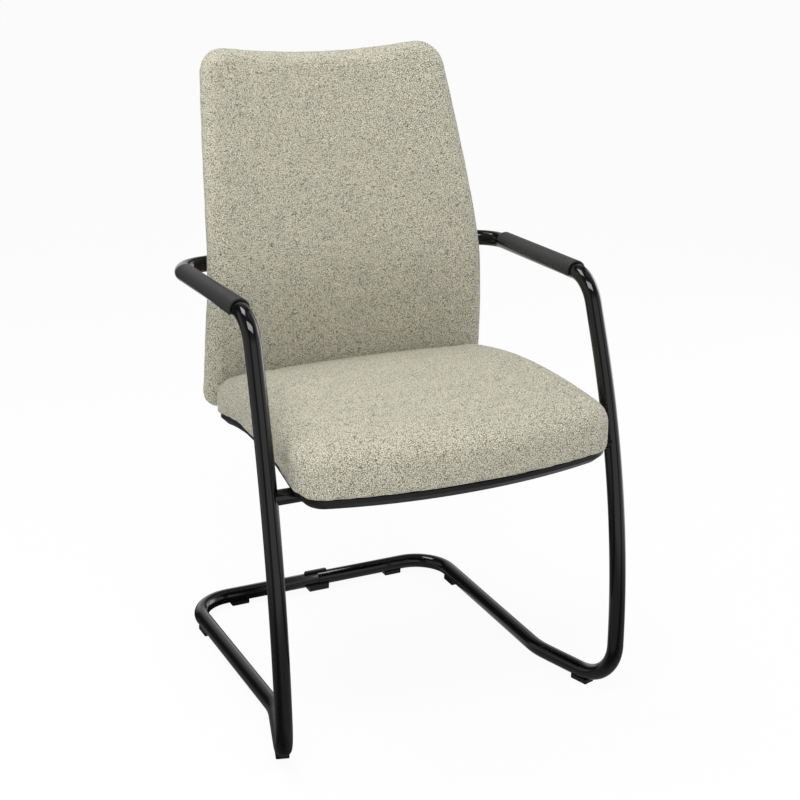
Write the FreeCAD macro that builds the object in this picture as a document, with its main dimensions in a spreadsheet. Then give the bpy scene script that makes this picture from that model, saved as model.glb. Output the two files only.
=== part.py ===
"""Sled base visitor chair: a bent tube frame with a closed arm loop, an upholstered seat and back.

+Z is up, the sitter faces -Y and the chair is the same on both sides of X = 0. The origin lies on
the floor under the middle of the chair. Every size is in millimetres and is a cell of the sheet.
"""
import FreeCAD
import Part
import math
import os

from FreeCAD import Placement, Rotation, Vector

os.makedirs("parts", exist_ok=True)
doc = FreeCAD.newDocument("sled_base_visitor_chair")

SIZES = [
    # frame tube
    ("tube_diameter", 25.0),
    ("tube_wall", 2.0),
    ("tube_seam", 0.6),
    ("glide_height", 5.0),
    ("rear_y", 293.0),
    ("rear_half", 235.5),
    ("rear_bend", 65.0),
    ("kink_y", -105.0),
    ("kink_half", 228.5),
    ("kink_bend", 125.0),
    ("foot_y", -263.0),
    ("foot_half", 273.0),
    ("foot_bend", 68.0),
    ("leg_bow", 51.0),
    ("leg_spread", 6.0),
    ("leg_bend", 1500.0),
    ("arm_height", 648.0),
    ("arm_front_y", -156.0),
    ("arm_front_half", 267.0),
    ("arm_front_bend", 56.0),
    ("arm_rear_y", 157.0),
    ("arm_rear_half", 274.0),
    ("arm_rear_bend", 50.0),
    ("loop_y", 184.0),
    ("loop_turn_half", 150.0),
    ("loop_bend", 750.0),
    # sleeves inside the two tube joints
    ("sleeve_length", 90.0),
    ("sleeve_wall", 2.0),
    ("sleeve_clearance", 0.15),
    # crossbar and its saddles
    ("crossbar_diameter", 22.0),
    ("crossbar_wall", 2.0),
    ("crossbar_height", 411.0),
    ("saddle_half", 150.0),
    ("saddle_width", 36.0),
    ("saddle_length", 76.0),
    ("saddle_plate", 4.0),
    ("saddle_cheek", 3.0),
    ("saddle_depth", 12.0),
    ("saddle_hole_spacing", 54.0),
    # seat
    ("seat_front_y", -309.0),
    ("seat_front_half", 247.4),
    ("seat_front_bow", 31.0),
    ("seat_front_corner", 45.0),
    ("seat_rear_y", 144.0),
    ("seat_rear_half", 236.0),
    ("seat_rear_bow", 21.5),
    ("seat_rear_corner", 38.0),
    ("seat_under_height", 444.0),
    ("seat_under_rear_start", -60.0),
    ("seat_under_rear_drop", 28.8),
    ("seat_under_front_start", -105.0),
    ("seat_under_front_drop", 29.0),
    ("seat_top_height", 500.0),
    ("seat_top_middle", -70.0),
    ("seat_top_rear_drop", 29.0),
    ("seat_top_front_drop", 23.0),
    ("seat_crown", 4.0),
    ("seat_top_round", 28.0),
    ("seat_under_round", 5.0),
    ("seat_board_thickness", 10.0),
    ("seat_board_inset", 8.0),
    ("seat_fold", 26.0),
    # pan under the seat
    ("pan_inset", 5.0),
    ("pan_rim", 6.5),
    ("pan_depth", 18.0),
    ("pan_wall", 2.5),
    # back
    ("back_bottom", 420.0),
    ("back_bottom_half", 243.5),
    ("back_bottom_corner", 28.0),
    ("back_top", 972.5),
    ("back_top_half", 200.5),
    ("back_top_corner", 40.0),
    ("back_dip", 17.5),
    ("back_side_bow", 7.0),
    ("back_lumbar_height", 625.0),
    ("back_lumbar_y", 129.0),
    ("back_lumbar_ease", 58.0),
    ("back_upper_slope", 0.31),
    ("back_lower_slope", 0.14),
    ("back_front_depth", 20.0),
    ("back_rear_depth", 14.0),
    ("back_front_hollow", 22.0),
    ("back_rear_hollow", 24.0),
    ("back_front_round", 20.0),
    ("back_rear_round", 12.0),
    ("back_board_thickness", 10.0),
    ("back_board_inset", 13.0),
    # upholstery
    ("fabric_thickness", 2.0),
    ("soft_clearance", 0.3),
    # plates behind the back, on the arm loop
    ("back_plate_half", 90.0),
    ("back_plate_width", 50.0),
    ("back_plate_height", 66.0),
    ("back_plate_thickness", 4.0),
    ("back_plate_hole_spacing", 48.0),
    # angle strips from seat to back
    ("link_half", 60.0),
    ("link_width", 40.0),
    ("link_thickness", 5.0),
    ("link_bend", 14.0),
    ("link_front_y", 33.0),
    ("link_top", 545.0),
    ("link_rear_y", 117.0),
    ("link_seat_hole_front", 51.0),
    ("link_seat_hole_rear", 99.0),
    ("link_back_hole_low", 470.0),
    ("link_back_hole_high", 522.0),
    # arm pads
    ("pad_wall", 3.6),
    ("pad_front_overlap", 2.0),
    ("pad_rear_gap", 2.0),
    ("pad_rear_skirt", 1.0),
    ("pad_front_skirt", 9.5),
    ("glide_edging", 1.2),
    # glides
    ("glide_length", 32.0),
    ("glide_width", 20.0),
    ("glide_seat", 3.0),
    ("glide_rear_half", 148.0),
    ("glide_side_y", 210.0),
    ("glide_front_y", -201.0),
    ("peg_diameter", 6.0),
    ("peg_length", 6.0),
    ("clip_length", 37.0),
    ("clip_wall", 4.0),
    # fasteners
    ("bolt_diameter", 6.0),
    ("bolt_head_diameter", 11.0),
    ("bolt_head_height", 3.3),
    ("bolt_clearance", 0.3),
    ("nut_diameter", 8.0),
    ("nut_flange_diameter", 18.0),
    ("nut_flange", 1.5),
    ("screw_diameter", 4.0),
    ("screw_head_diameter", 8.0),
    ("screw_head_height", 2.4),
    ("pan_screw_length", 27.0),
    ("pan_screw_half", 196.0),
    ("pan_screw_front_y", -251.0),
    ("pan_screw_middle_y", -80.0),
    ("pan_screw_rear_y", 77.0),
    ("pan_boss_diameter", 10.0),
]

sheet = doc.addObject("Spreadsheet::Sheet", "sizes")
for row, (alias, value) in enumerate(SIZES, start=1):
    sheet.set("A%d" % row, alias)
    sheet.set("B%d" % row, str(value))
    sheet.setAlias("B%d" % row, alias)
doc.recompute()


def size(alias):
    """Value of one cell, in millimetres."""
    return float(sheet.get(alias))


subparts = []


def keep(item, node):
    """Name a finished object as a sub-part."""
    item.Label = node
    subparts.append(item)
    return item


def bound(kind, name, place=None, **formulas):
    """New object whose sizes follow formulas of the sheet's cells."""
    item = doc.addObject(kind, name)
    for prop, formula in formulas.items():
        item.setExpression(prop, formula)
    if place is not None:
        item.Placement = place
    return item


def solid_feature(name, shape):
    """Document object that holds a shape made with Part's own functions."""
    item = doc.addObject("Part::Feature", name)
    item.Shape = shape
    item.Placement = Placement()
    return item


def boolean_cut(name, base, tools):
    """Base less one or several tools."""
    tool = tools[0]
    if len(tools) > 1:
        tool = doc.addObject("Part::MultiFuse", name + "_tools")
        tool.Shapes = tools
    item = doc.addObject("Part::Cut", name)
    item.Base = base
    item.Tool = tool
    return item


def fuse(name, shapes):
    item = doc.addObject("Part::MultiFuse", name)
    item.Shapes = shapes
    return item


def group(name, shapes):
    item = doc.addObject("Part::Compound", name)
    item.Links = shapes
    return item


ALONG_X = Rotation(Vector(0, 1, 0), 90)


def unit(vector):
    return vector * (1.0 / vector.Length)


# Path of the frame tube

tube_radius = size("tube_diameter") / 2
base_height = size("glide_height") + tube_radius


def bent_wire(points, radii):
    """Straight runs through the points, joined by tangent arcs of the given radii."""
    edges = []
    start = points[0]
    for corner, previous, following, radius in zip(points[1:-1], points[:-2], points[2:], radii):
        before = unit(corner - previous)
        after = unit(following - corner)
        turn = before.getAngle(after)
        tangent = radius * math.tan(turn / 2)
        first = corner - before * tangent
        last = corner + after * tangent
        inward = unit(after - before)
        middle = corner + inward * (radius / math.cos(turn / 2) - radius)
        edges.append(Part.LineSegment(start, first).toShape())
        edges.append(Part.Arc(first, middle, last).toShape())
        start = last
    edges.append(Part.LineSegment(start, points[-1]).toShape())
    return Part.Wire(edges)


def frame_points(side):
    """Corners of one half of the frame, from the base joint round to the joint behind the back."""
    seam = size("tube_seam") / 2
    foot = Vector(size("foot_half"), size("foot_y"), base_height)
    arm_front = Vector(size("arm_front_half"), size("arm_front_y"), size("arm_height"))
    leg_middle = (foot + arm_front) * 0.5 + Vector(size("leg_spread"), -size("leg_bow"), 0)
    corners = [
        Vector(seam, size("rear_y"), base_height),
        Vector(size("rear_half"), size("rear_y"), base_height),
        Vector(size("kink_half"), size("kink_y"), base_height),
        foot,
        leg_middle,
        arm_front,
        Vector(size("arm_rear_half"), size("arm_rear_y"), size("arm_height")),
        Vector(size("loop_turn_half"), size("loop_y"), size("arm_height")),
        Vector(seam, size("loop_y"), size("arm_height")),
    ]
    return [Vector(side * p.x, p.y, p.z) for p in corners]


FRAME_BENDS = [
    size("rear_bend"),
    size("kink_bend"),
    size("foot_bend"),
    size("leg_bend"),
    size("arm_front_bend"),
    size("arm_rear_bend"),
    size("loop_bend"),
]


def leg_point(path, height):
    """Point of the leg's centre line at a height."""
    for edge in path.Edges:
        low = edge.valueAt(edge.FirstParameter)
        high = edge.valueAt(edge.LastParameter)
        if min(low.z, high.z) <= height <= max(low.z, high.z) and abs(high.z - low.z) > 1:
            first, last = edge.FirstParameter, edge.LastParameter
            for _ in range(40):
                middle = (first + last) / 2
                if (edge.valueAt(middle).z < height) == (low.z < high.z):
                    first = middle
                else:
                    last = middle
            return edge.valueAt(first)
    raise ValueError("the leg does not reach this height")


def tube_sweep(name, path, radius_formula):
    """Round rod swept along a frame path."""
    start = path.Shape.Edges[0].valueAt(path.Shape.Edges[0].FirstParameter)
    circle = bound("Part::Circle", name + "_section", Placement(start, ALONG_X), Radius=radius_formula)
    rod = doc.addObject("Part::Sweep", name)
    rod.Sections = [circle]
    rod.Spine = (path, ["Edge%d" % (i + 1) for i in range(len(path.Shape.Edges))])
    rod.Solid = True
    rod.Frenet = False
    return rod


paths = {}
rods = {}
frame_cores = {}
for side_name, side in (("left", -1), ("right", 1)):
    path = solid_feature("frame_path_" + side_name, bent_wire(frame_points(side), FRAME_BENDS))
    paths[side_name] = path
    rods[side_name] = tube_sweep("frame_rod_" + side_name, path, "sizes.tube_diameter / 2")
    frame_cores[side_name] = tube_sweep(
        "frame_bore_" + side_name, path, "sizes.tube_diameter / 2 - sizes.tube_wall")


def point_on_base(y):
    """Centre of the right base tube on the straight runs between rear, kink and foot."""
    rear, kink, foot = frame_points(1)[1:4]
    near, far = (rear, kink) if y > kink.y else (kink, foot)
    share = (y - near.y) / (far.y - near.y)
    return near + (far - near) * share, math.degrees(math.atan2(near.x - far.x, near.y - far.y))


# Glides: a pad under the tube, hollowed to its round, with a peg in the tube's wall

def glide(node, x, y, heading, cutter):
    place = Placement(Vector(x, y, 0), Rotation(Vector(0, 0, 1), heading))
    body = doc.addObject("PartDesign::Body", node + "_pad")
    plane = [f for f in body.Origin.OriginFeatures if f.Role == "XY_Plane"][0]
    sketch = body.newObject("Sketcher::SketchObject", node + "_outline")
    sketch.AttachmentSupport = [(plane, "")]
    sketch.MapMode = "FlatFace"
    wide, deep = size("glide_width") / 2, size("glide_length") / 2
    corners = [Vector(-wide, -deep, 0), Vector(wide, -deep, 0), Vector(wide, deep, 0), Vector(-wide, deep, 0)]
    for number in range(4):
        sketch.addGeometry(Part.LineSegment(corners[number], corners[(number + 1) % 4]), False)
    pad = body.newObject("PartDesign::Pad", node + "_pad_height")
    pad.Profile = sketch
    pad.setExpression("Length", "sizes.glide_height + sizes.glide_seat")
    doc.recompute()
    foot_edges = ["Edge%d" % (i + 1) for i, e in enumerate(pad.Shape.Edges)
                  if e.BoundBox.ZMax < 0.01 or e.BoundBox.ZLength > 1]
    edging = body.newObject("PartDesign::Chamfer", node + "_edging")
    edging.Base = (pad, foot_edges)
    edging.setExpression("Size", "sizes.glide_edging")
    body.Tip = edging
    body.Placement = place
    peg = bound("Part::Cylinder", node + "_peg", Placement(Vector(x, y, 0), Rotation()),
                Radius="sizes.peg_diameter / 2", Height="sizes.glide_height + sizes.peg_length")
    hollowed = boolean_cut(node + "_hollowed", body, [cutter])
    keep(fuse(node, [hollowed, peg]), node)
    return bound("Part::Cylinder", node + "_peg_hole", Placement(Vector(x, y, 0), Rotation()),
                 Radius="sizes.peg_diameter / 2 + sizes.sleeve_clearance",
                 Height="sizes.glide_height + sizes.peg_length + 1")


holes = {"left": [], "right": []}
for side_name, side in (("left", -1), ("right", 1)):
    rod = rods[side_name]
    holes[side_name].append(
        glide("glide_rear_" + side_name, side * size("glide_rear_half"), size("rear_y"), 90, rod))
    spot, heading = point_on_base(size("glide_side_y"))
    holes[side_name].append(glide("glide_side_" + side_name, side * spot.x, spot.y, -side * heading, rod))
    spot, heading = point_on_base(size("glide_front_y"))
    holes[side_name].append(glide("glide_front_" + side_name, side * spot.x, spot.y, -side * heading, rod))


# Frame tubes, with holes for the pegs of the glides and of the arm pads



def arm_straight():
    """First and last point of the arm's straight run on the right side."""
    lines = [e for e in bent_wire(frame_points(1), FRAME_BENDS).Edges if e.Curve.TypeId == "Part::GeomLine"]
    arm = [e for e in lines if abs(e.BoundBox.ZLength) < 0.01 and e.BoundBox.ZMin > base_height + 1
           and e.BoundBox.YLength > e.BoundBox.XLength][0]
    return arm.valueAt(arm.FirstParameter), arm.valueAt(arm.LastParameter)


arm_first, arm_last = arm_straight()
pad_direction = unit(arm_last - arm_first)
pad_start = arm_first - pad_direction * size("pad_front_overlap")
pad_end = arm_last - pad_direction * size("pad_rear_gap")
pad_length = (pad_end - pad_start).Length
pad_peg_steps = (0.22, 0.78)
pad_radius = tube_radius + size("pad_wall")


def on_side(vector, side):
    return Vector(side * vector.x, vector.y, vector.z)


pad_peg_spots = {}
for side_name, side in (("left", -1), ("right", 1)):
    pad_peg_spots[side_name] = []
    for number, step in enumerate(pad_peg_steps):
        spot = on_side(pad_start + pad_direction * (pad_length * step), side)
        pad_peg_spots[side_name].append(spot)
        hole = bound("Part::Cylinder", "pad_peg_hole_%s_%d" % (side_name, number),
                     Placement(spot, Rotation()),
                     Radius="sizes.peg_diameter / 2 + sizes.sleeve_clearance",
                     Height="sizes.tube_diameter")
        holes[side_name].append(hole)

for side_name in ("left", "right"):
    tube = boolean_cut("frame_tube_" + side_name, rods[side_name],
                       [frame_cores[side_name]] + holes[side_name])
    keep(tube, "frame_tube_" + side_name)


# Sleeves inside the joints

def sleeve(node, y, z):
    place = Placement(Vector(-size("sleeve_length") / 2, y, z), ALONG_X)
    outer = bound("Part::Cylinder", node + "_outer", place,
                  Radius="sizes.tube_diameter / 2 - sizes.tube_wall - sizes.sleeve_clearance",
                  Height="sizes.sleeve_length")
    inner = bound("Part::Cylinder", node + "_inner", place,
                  Radius="sizes.tube_diameter / 2 - sizes.tube_wall - sizes.sleeve_clearance"
                         " - sizes.sleeve_wall",
                  Height="sizes.sleeve_length")
    return keep(boolean_cut(node, outer, [inner]), node)


sleeve("base_joint_sleeve", size("rear_y"), base_height)
sleeve("loop_joint_sleeve", size("loop_y"), size("arm_height"))


# Clip glide round the base joint: a C of wall round the rear of the tube, with a flat foot

def clip_section():
    """Closed outline of the clip across the tube, seen along X."""
    y0, z0 = size("rear_y"), base_height
    inner = tube_radius
    outer = tube_radius + size("clip_wall")

    def rim(radius, degrees):
        turn = math.radians(degrees)
        return Vector(0, y0 + radius * math.cos(turn), z0 + radius * math.sin(turn))

    top, front = 100.0, 205.0
    foot_half = outer * 0.62
    edges = [
        Part.Arc(rim(outer, top), rim(outer, 40), rim(outer, -30)).toShape(),
        Part.LineSegment(rim(outer, -30), Vector(0, y0 + foot_half + 3, 0)).toShape(),
        Part.LineSegment(Vector(0, y0 + foot_half + 3, 0), Vector(0, y0 - foot_half - 3, 0)).toShape(),
        Part.LineSegment(Vector(0, y0 - foot_half - 3, 0), rim(outer, front)).toShape(),
        Part.LineSegment(rim(outer, front), rim(inner, front)).toShape(),
        Part.Arc(rim(inner, front), rim(inner, -40), rim(inner, top)).toShape(),
        Part.LineSegment(rim(inner, top), rim(outer, top)).toShape(),
    ]
    return Part.Face(Part.Wire(edges))


clip_profile = solid_feature("base_joint_clip_section", clip_section())
clip = doc.addObject("Part::Extrusion", "base_joint_clip")
clip.Base = clip_profile
clip.DirMode = "Custom"
clip.Dir = Vector(1, 0, 0)
clip.setExpression("LengthFwd", "sizes.clip_length / 2")
clip.setExpression("LengthRev", "sizes.clip_length / 2")
clip.Solid = True
keep(clip, "base_joint_clip")


# Crossbar, coped to both legs

crossbar_end = leg_point(paths["right"].Shape, size("crossbar_height"))
crossbar_y = crossbar_end.y
crossbar_place = Placement(Vector(-crossbar_end.x, crossbar_y, size("crossbar_height")), ALONG_X)


def crossbar_rod(name, radius_formula):
    rod = bound("Part::Cylinder", name, crossbar_place, Radius=radius_formula)
    rod.Height = 2 * crossbar_end.x
    return rod


crossbar_outer = crossbar_rod("crossbar_outer", "sizes.crossbar_diameter / 2")
crossbar_inner = crossbar_rod("crossbar_inner", "sizes.crossbar_diameter / 2 - sizes.crossbar_wall")
keep(boolean_cut("crossbar", crossbar_outer, [crossbar_inner, rods["left"], rods["right"]]), "crossbar")


# Surfaces of the seat

def smooth_step(share):
    share = min(max(share, 0.0), 1.0)
    return share * share * (3 - 2 * share)


def seat_under(y):
    """Height of the cover's lower edge: level in the middle, dropping to the rear and the front."""
    start = size("seat_under_rear_start")
    if y > start:
        share = (y - start) / (size("seat_rear_y") - start)
        return size("seat_under_height") - size("seat_under_rear_drop") * share ** 2
    start = size("seat_under_front_start")
    if y < start:
        share = (start - y) / (start - size("seat_front_y"))
        return size("seat_under_height") - size("seat_under_front_drop") * smooth_step(share * 0.95)
    return size("seat_under_height")


def seat_top(y):
    """Height of the seat's top at its sides, highest in the middle."""
    middle = size("seat_top_middle")
    if y > middle:
        share = (y - middle) / (size("seat_rear_y") - middle)
        return size("seat_top_height") - size("seat_top_rear_drop") * share ** 2
    share = (y - middle) / (size("seat_front_y") - middle)
    return size("seat_top_height") - size("seat_top_front_drop") * share ** 2


def seat_slope(y):
    """Slope of the seat's underside, in degrees."""
    return math.degrees(math.atan(seat_under(y + 0.5) - seat_under(y - 0.5)))


STATIONS = 13
MARGIN = 25.0


def seat_slab(low_of, high_of, crown):
    """Loft of level-sided sections along Y, wider and longer than the seat."""
    half = size("seat_front_half") + MARGIN
    first = size("seat_front_y") - MARGIN
    last = size("seat_rear_y") + MARGIN
    wires = []
    for number in range(STATIONS):
        y = first + (last - first) * number / (STATIONS - 1)
        low, high = low_of(y), high_of(y)
        lower_left, lower_right = Vector(-half, y, low), Vector(half, y, low)
        upper_left, upper_right = Vector(-half, y, high), Vector(half, y, high)
        if crown:
            over = Part.Arc(upper_right, Vector(0, y, high + crown), upper_left).toShape()
        else:
            over = Part.LineSegment(upper_right, upper_left).toShape()
        wires.append(Part.Wire([
            Part.LineSegment(lower_left, lower_right).toShape(),
            Part.LineSegment(lower_right, upper_right).toShape(),
            over,
            Part.LineSegment(upper_left, lower_left).toShape(),
        ]))
    return Part.makeLoft(wires, True, False)


def seat_prism(inset, low, high):
    """Upright prism on the seat's plan outline, drawn in by inset."""
    front_half = size("seat_front_half") - inset
    rear_half = size("seat_rear_half") - inset
    front = size("seat_front_y") + inset
    rear = size("seat_rear_y") - inset
    front_left = Vector(-front_half, front + size("seat_front_bow"), low)
    front_right = Vector(front_half, front + size("seat_front_bow"), low)
    rear_left = Vector(-rear_half, rear - size("seat_rear_bow"), low)
    rear_right = Vector(rear_half, rear - size("seat_rear_bow"), low)
    wire = Part.Wire([
        Part.Arc(front_left, Vector(0, front, low), front_right).toShape(),
        Part.LineSegment(front_right, rear_right).toShape(),
        Part.Arc(rear_right, Vector(0, rear, low), rear_left).toShape(),
        Part.LineSegment(rear_left, front_left).toShape(),
    ])
    prism = Part.Face(wire).extrude(Vector(0, 0, high - low))
    upright = [e for e in prism.Edges if e.BoundBox.ZLength > (high - low) / 2]
    front_edges = [e for e in upright if e.BoundBox.YMax < 0]
    prism = prism.makeFillet(max(size("seat_front_corner") - inset, 5.0), front_edges)
    corner_y = rear_right.y - 1
    rear_edges = [e for e in prism.Edges
                  if e.BoundBox.ZLength > (high - low) / 2 and e.BoundBox.YMin > corner_y]
    return prism.makeFillet(max(size("seat_rear_corner") - inset, 5.0), rear_edges)


def rounded(shape, is_edge, radius):
    """Shape with a fillet on the edges that the test picks."""
    return shape.makeFillet(radius, [e for e in shape.Edges if is_edge(e)]).Solids[0]


def seat_solid(inset, low_of, high_of, crown, top_round, under_round):
    """Slab cut to the seat's outline, with its upper and lower edges rounded."""
    prism = seat_prism(inset, 350.0, 560.0)
    shape = seat_slab(low_of, high_of, crown).common(prism).Solids[0]

    def along_rim(edge, of_height):
        points = [edge.valueAt(edge.FirstParameter + (edge.LastParameter - edge.FirstParameter) * t)
                  for t in (0.0, 0.5, 1.0)]
        return all(abs(p.z - of_height(p)) < 0.6 for p in points)

    def crowned(point):
        half = size("seat_front_half") + MARGIN
        return high_of(point.y) + crown * (1 - (point.x / half) ** 2)

    if top_round:
        shape = rounded(shape, lambda e: along_rim(e, crowned), top_round)
    if under_round:
        shape = rounded(shape, lambda e: along_rim(e, lambda p: low_of(p.y)), under_round)
    return shape


cloth = size("fabric_thickness")
soft_gap = size("soft_clearance")
seat_board_low = cloth + soft_gap
seat_board_high = seat_board_low + size("seat_board_thickness")
seat_outer = seat_solid(0, seat_under, seat_top, size("seat_crown"),
                        size("seat_top_round"), size("seat_under_round"))
seat_cavity = seat_solid(cloth, lambda y: seat_under(y) + cloth, lambda y: seat_top(y) - cloth,
                         size("seat_crown"), size("seat_top_round") - cloth, 0)
seat_opening = seat_solid(size("seat_fold"), lambda y: seat_under(y) - 5,
                          lambda y: seat_under(y) + cloth + 1, 0, 0, 0)


# Fasteners: a head below the local origin, the shank along local +Z

def bolt(name, place, diameter, length, head_diameter, head_height):
    """Hexagon head bolt; the sizes are names of cells, or formulas of them."""
    shank = bound("Part::Cylinder", name + "_shank", place, Radius=diameter + " / 2", Height=length)
    head_place = place * Placement(Vector(0, 0, -size_of(head_height)), Rotation())
    head = bound("Part::Prism", name + "_head", head_place, Circumradius=head_diameter + " / 2",
                 Height=head_height)
    head.Polygon = 6
    return fuse(name, [shank, head])


def size_of(formula):
    """Value of a formula that is one cell's name."""
    return size(formula.replace("sizes.", ""))


def drill(name, place, radius_formula, length, below=0.0):
    """Round cutter along local +Z that starts below the local origin."""
    item = bound("Part::Cylinder", name, place * Placement(Vector(0, 0, -below), Rotation()),
                 Radius=radius_formula)
    item.Height = length
    return item


def tee_nut(name, place, board_formula):
    """Barrel that fills the board's hole, with a flange on the far side, bored for the bolt."""
    barrel = bound("Part::Cylinder", name + "_barrel", place, Radius="sizes.nut_diameter / 2",
                   Height=board_formula)
    top = size(board_formula.replace("sizes.", "")) - size("nut_flange")
    flange_place = place * Placement(Vector(0, 0, top), Rotation())
    flange = bound("Part::Prism", name + "_flange", flange_place,
                   Circumradius="sizes.nut_flange_diameter / 2", Height="sizes.nut_flange")
    flange.Polygon = 8
    bore = drill(name + "_bore", place, "sizes.bolt_diameter / 2 + sizes.bolt_clearance / 2", 40.0, 5.0)
    return boolean_cut(name, fuse(name + "_blank", [barrel, flange]), [bore])


def nut_cutters(name, place, board_formula):
    """Cutters in a board for a tee nut: the barrel's hole and the flange's recess."""
    thickness = size(board_formula.replace("sizes.", ""))
    hole = drill(name + "_hole", place, "sizes.nut_diameter / 2 + sizes.bolt_clearance / 2",
                 thickness + 8, 4.0)
    recess_place = place * Placement(Vector(0, 0, thickness - size("nut_flange")), Rotation())
    recess = drill(name + "_recess", recess_place,
                   "sizes.nut_flange_diameter / 2 + sizes.bolt_clearance", size("nut_flange") + 6)
    return [hole, recess]


# Saddles on the crossbar: a plate under the board and two cheeks coped to the bar

saddle_tilt = seat_slope(crossbar_y)
board_under = seat_under(crossbar_y) + seat_board_low
seat_bolts = []
seat_nuts = []
seat_board_cutters = []
tilted = Rotation(Vector(1, 0, 0), saddle_tilt)
plate_drop = size("saddle_plate") + soft_gap
seat_bolt_length = "sizes.saddle_plate + sizes.seat_board_thickness + sizes.soft_clearance"
for side_name, side in (("left", -1), ("right", 1)):
    node = "crossbar_saddle_" + side_name
    frame = Placement(Vector(side * size("saddle_half"), crossbar_y, board_under), tilted)
    wide, long_ = size("saddle_width"), size("saddle_length")
    plate = bound("Part::Box", node + "_plate",
                  frame * Placement(Vector(-wide / 2, -long_ / 2, -plate_drop), Rotation()),
                  Length="sizes.saddle_width", Width="sizes.saddle_length", Height="sizes.saddle_plate")
    cheek_length = size("crossbar_diameter") + 2 * size("saddle_cheek")
    cheeks = []
    for number, offset in enumerate((-wide / 2, wide / 2 - size("saddle_cheek"))):
        cheek = bound("Part::Box", "%s_cheek_%d" % (node, number),
                      frame * Placement(Vector(offset, -cheek_length / 2,
                                               -plate_drop - size("saddle_depth")), Rotation()),
                      Length="sizes.saddle_cheek", Height="sizes.saddle_depth")
        cheek.Width = cheek_length
        cheeks.append(cheek)
    blank = fuse(node + "_blank", [plate] + cheeks)
    cutters = [crossbar_outer]
    for number, sign in enumerate((-1, 1)):
        along = sign * size("saddle_hole_spacing") / 2
        spot = frame * Placement(Vector(0, along, -plate_drop), Rotation())
        cutters.append(drill("%s_hole_%d" % (node, number), spot,
                             "sizes.bolt_diameter / 2 + sizes.bolt_clearance", 12.0, 4.0))
        seat_bolts.append(bolt("seat_bolt_%s_%d" % (side_name, number), spot, "sizes.bolt_diameter",
                               seat_bolt_length, "sizes.bolt_head_diameter", "sizes.bolt_head_height"))
        nut_spot = frame * Placement(Vector(0, along, 0), Rotation())
        seat_nuts.append(tee_nut("seat_nut_%s_%d" % (side_name, number), nut_spot,
                                 "sizes.seat_board_thickness"))
        seat_board_cutters += nut_cutters("seat_board_%s_%d" % (side_name, number), nut_spot,
                                          "sizes.seat_board_thickness")
    keep(boolean_cut(node, blank, cutters), node)


# Surfaces of the back

def back_line(z):
    """Y of the back's side edge: foremost at the lumbar height, leaning away above and below."""
    rise = z - size("back_lumbar_height")
    slope = size("back_upper_slope") if rise > 0 else size("back_lower_slope")
    ease = size("back_lumbar_ease")
    return size("back_lumbar_y") + slope * (math.hypot(rise, ease) - ease)


def back_slab(front_inset, rear_inset, thickness=0.0):
    """Loft of sections at rising heights, hollow to the sitter in front and round behind.

    With a thickness, the slab is only the layer of that thickness at the rear.
    """
    reference = size("back_bottom_half") - 8
    half = size("back_bottom_half") + MARGIN
    stretch = (half / reference) ** 2
    first = size("back_bottom") - MARGIN
    last = size("back_top") + MARGIN
    wires = []
    for number in range(STATIONS):
        z = first + (last - first) * number / (STATIONS - 1)
        rear_edge = back_line(z) + size("back_rear_depth") - rear_inset
        front_edge = back_line(z) - size("back_front_depth") + front_inset
        front_hollow = size("back_front_hollow")
        rear_hollow = size("back_rear_hollow")
        if thickness:
            front_edge = rear_edge - thickness
            front_hollow = rear_hollow
        front_middle = front_edge + front_hollow
        rear_middle = rear_edge + rear_hollow
        front_left = Vector(-half, front_middle - front_hollow * stretch, z)
        front_right = Vector(half, front_left.y, z)
        rear_left = Vector(-half, rear_middle - rear_hollow * stretch, z)
        rear_right = Vector(half, rear_left.y, z)
        wires.append(Part.Wire([
            Part.Arc(front_left, Vector(0, front_middle, z), front_right).toShape(),
            Part.LineSegment(front_right, rear_right).toShape(),
            Part.Arc(rear_right, Vector(0, rear_middle, z), rear_left).toShape(),
            Part.LineSegment(rear_left, front_left).toShape(),
        ]))
    return Part.makeLoft(wires, True, False)


def back_prism(inset):
    """Prism along Y on the back's outline: bowed sides, dipped top, rounded corners."""
    near, far = 60.0, 330.0
    bottom_half = size("back_bottom_half") - inset
    top_half = size("back_top_half") - inset
    bottom = size("back_bottom") + inset
    top = size("back_top") - inset
    middle_half = (bottom_half + top_half) / 2 + size("back_side_bow")
    middle = (bottom + top) / 2
    wire = Part.Wire([
        Part.LineSegment(Vector(-bottom_half, near, bottom), Vector(bottom_half, near, bottom)).toShape(),
        Part.Arc(Vector(bottom_half, near, bottom), Vector(middle_half, near, middle),
                 Vector(top_half, near, top)).toShape(),
        Part.Arc(Vector(top_half, near, top), Vector(0, near, top - size("back_dip")),
                 Vector(-top_half, near, top)).toShape(),
        Part.Arc(Vector(-top_half, near, top), Vector(-middle_half, near, middle),
                 Vector(-bottom_half, near, bottom)).toShape(),
    ])
    prism = Part.Face(wire).extrude(Vector(0, far - near, 0))

    def corner_edges(shape, height):
        return [e for e in shape.Edges if e.BoundBox.YLength > (far - near) / 2
                and abs(e.BoundBox.ZMax - height) < 1]

    prism = prism.makeFillet(size("back_top_corner") - inset, corner_edges(prism, top))
    return prism.makeFillet(size("back_bottom_corner") - inset, corner_edges(prism, bottom))


def rim_edges(shape, front):
    """Edges of the front or the rear rim of a back panel."""
    chosen = []
    for edge in shape.Edges:
        if edge.BoundBox.YLength > 25 and max(edge.BoundBox.XLength, edge.BoundBox.ZLength) < 15:
            continue
        faces = shape.ancestorsOfType(edge, Part.Face)
        areas = sorted((face.Area for face in faces), reverse=True)
        if areas[0] < 60000:
            continue
        broad = [face for face in faces if face.Area == areas[0]][0]
        is_front = broad.CenterOfMass.y < shape.CenterOfMass.y
        if is_front == front:
            chosen.append(edge)
    return chosen


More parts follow.
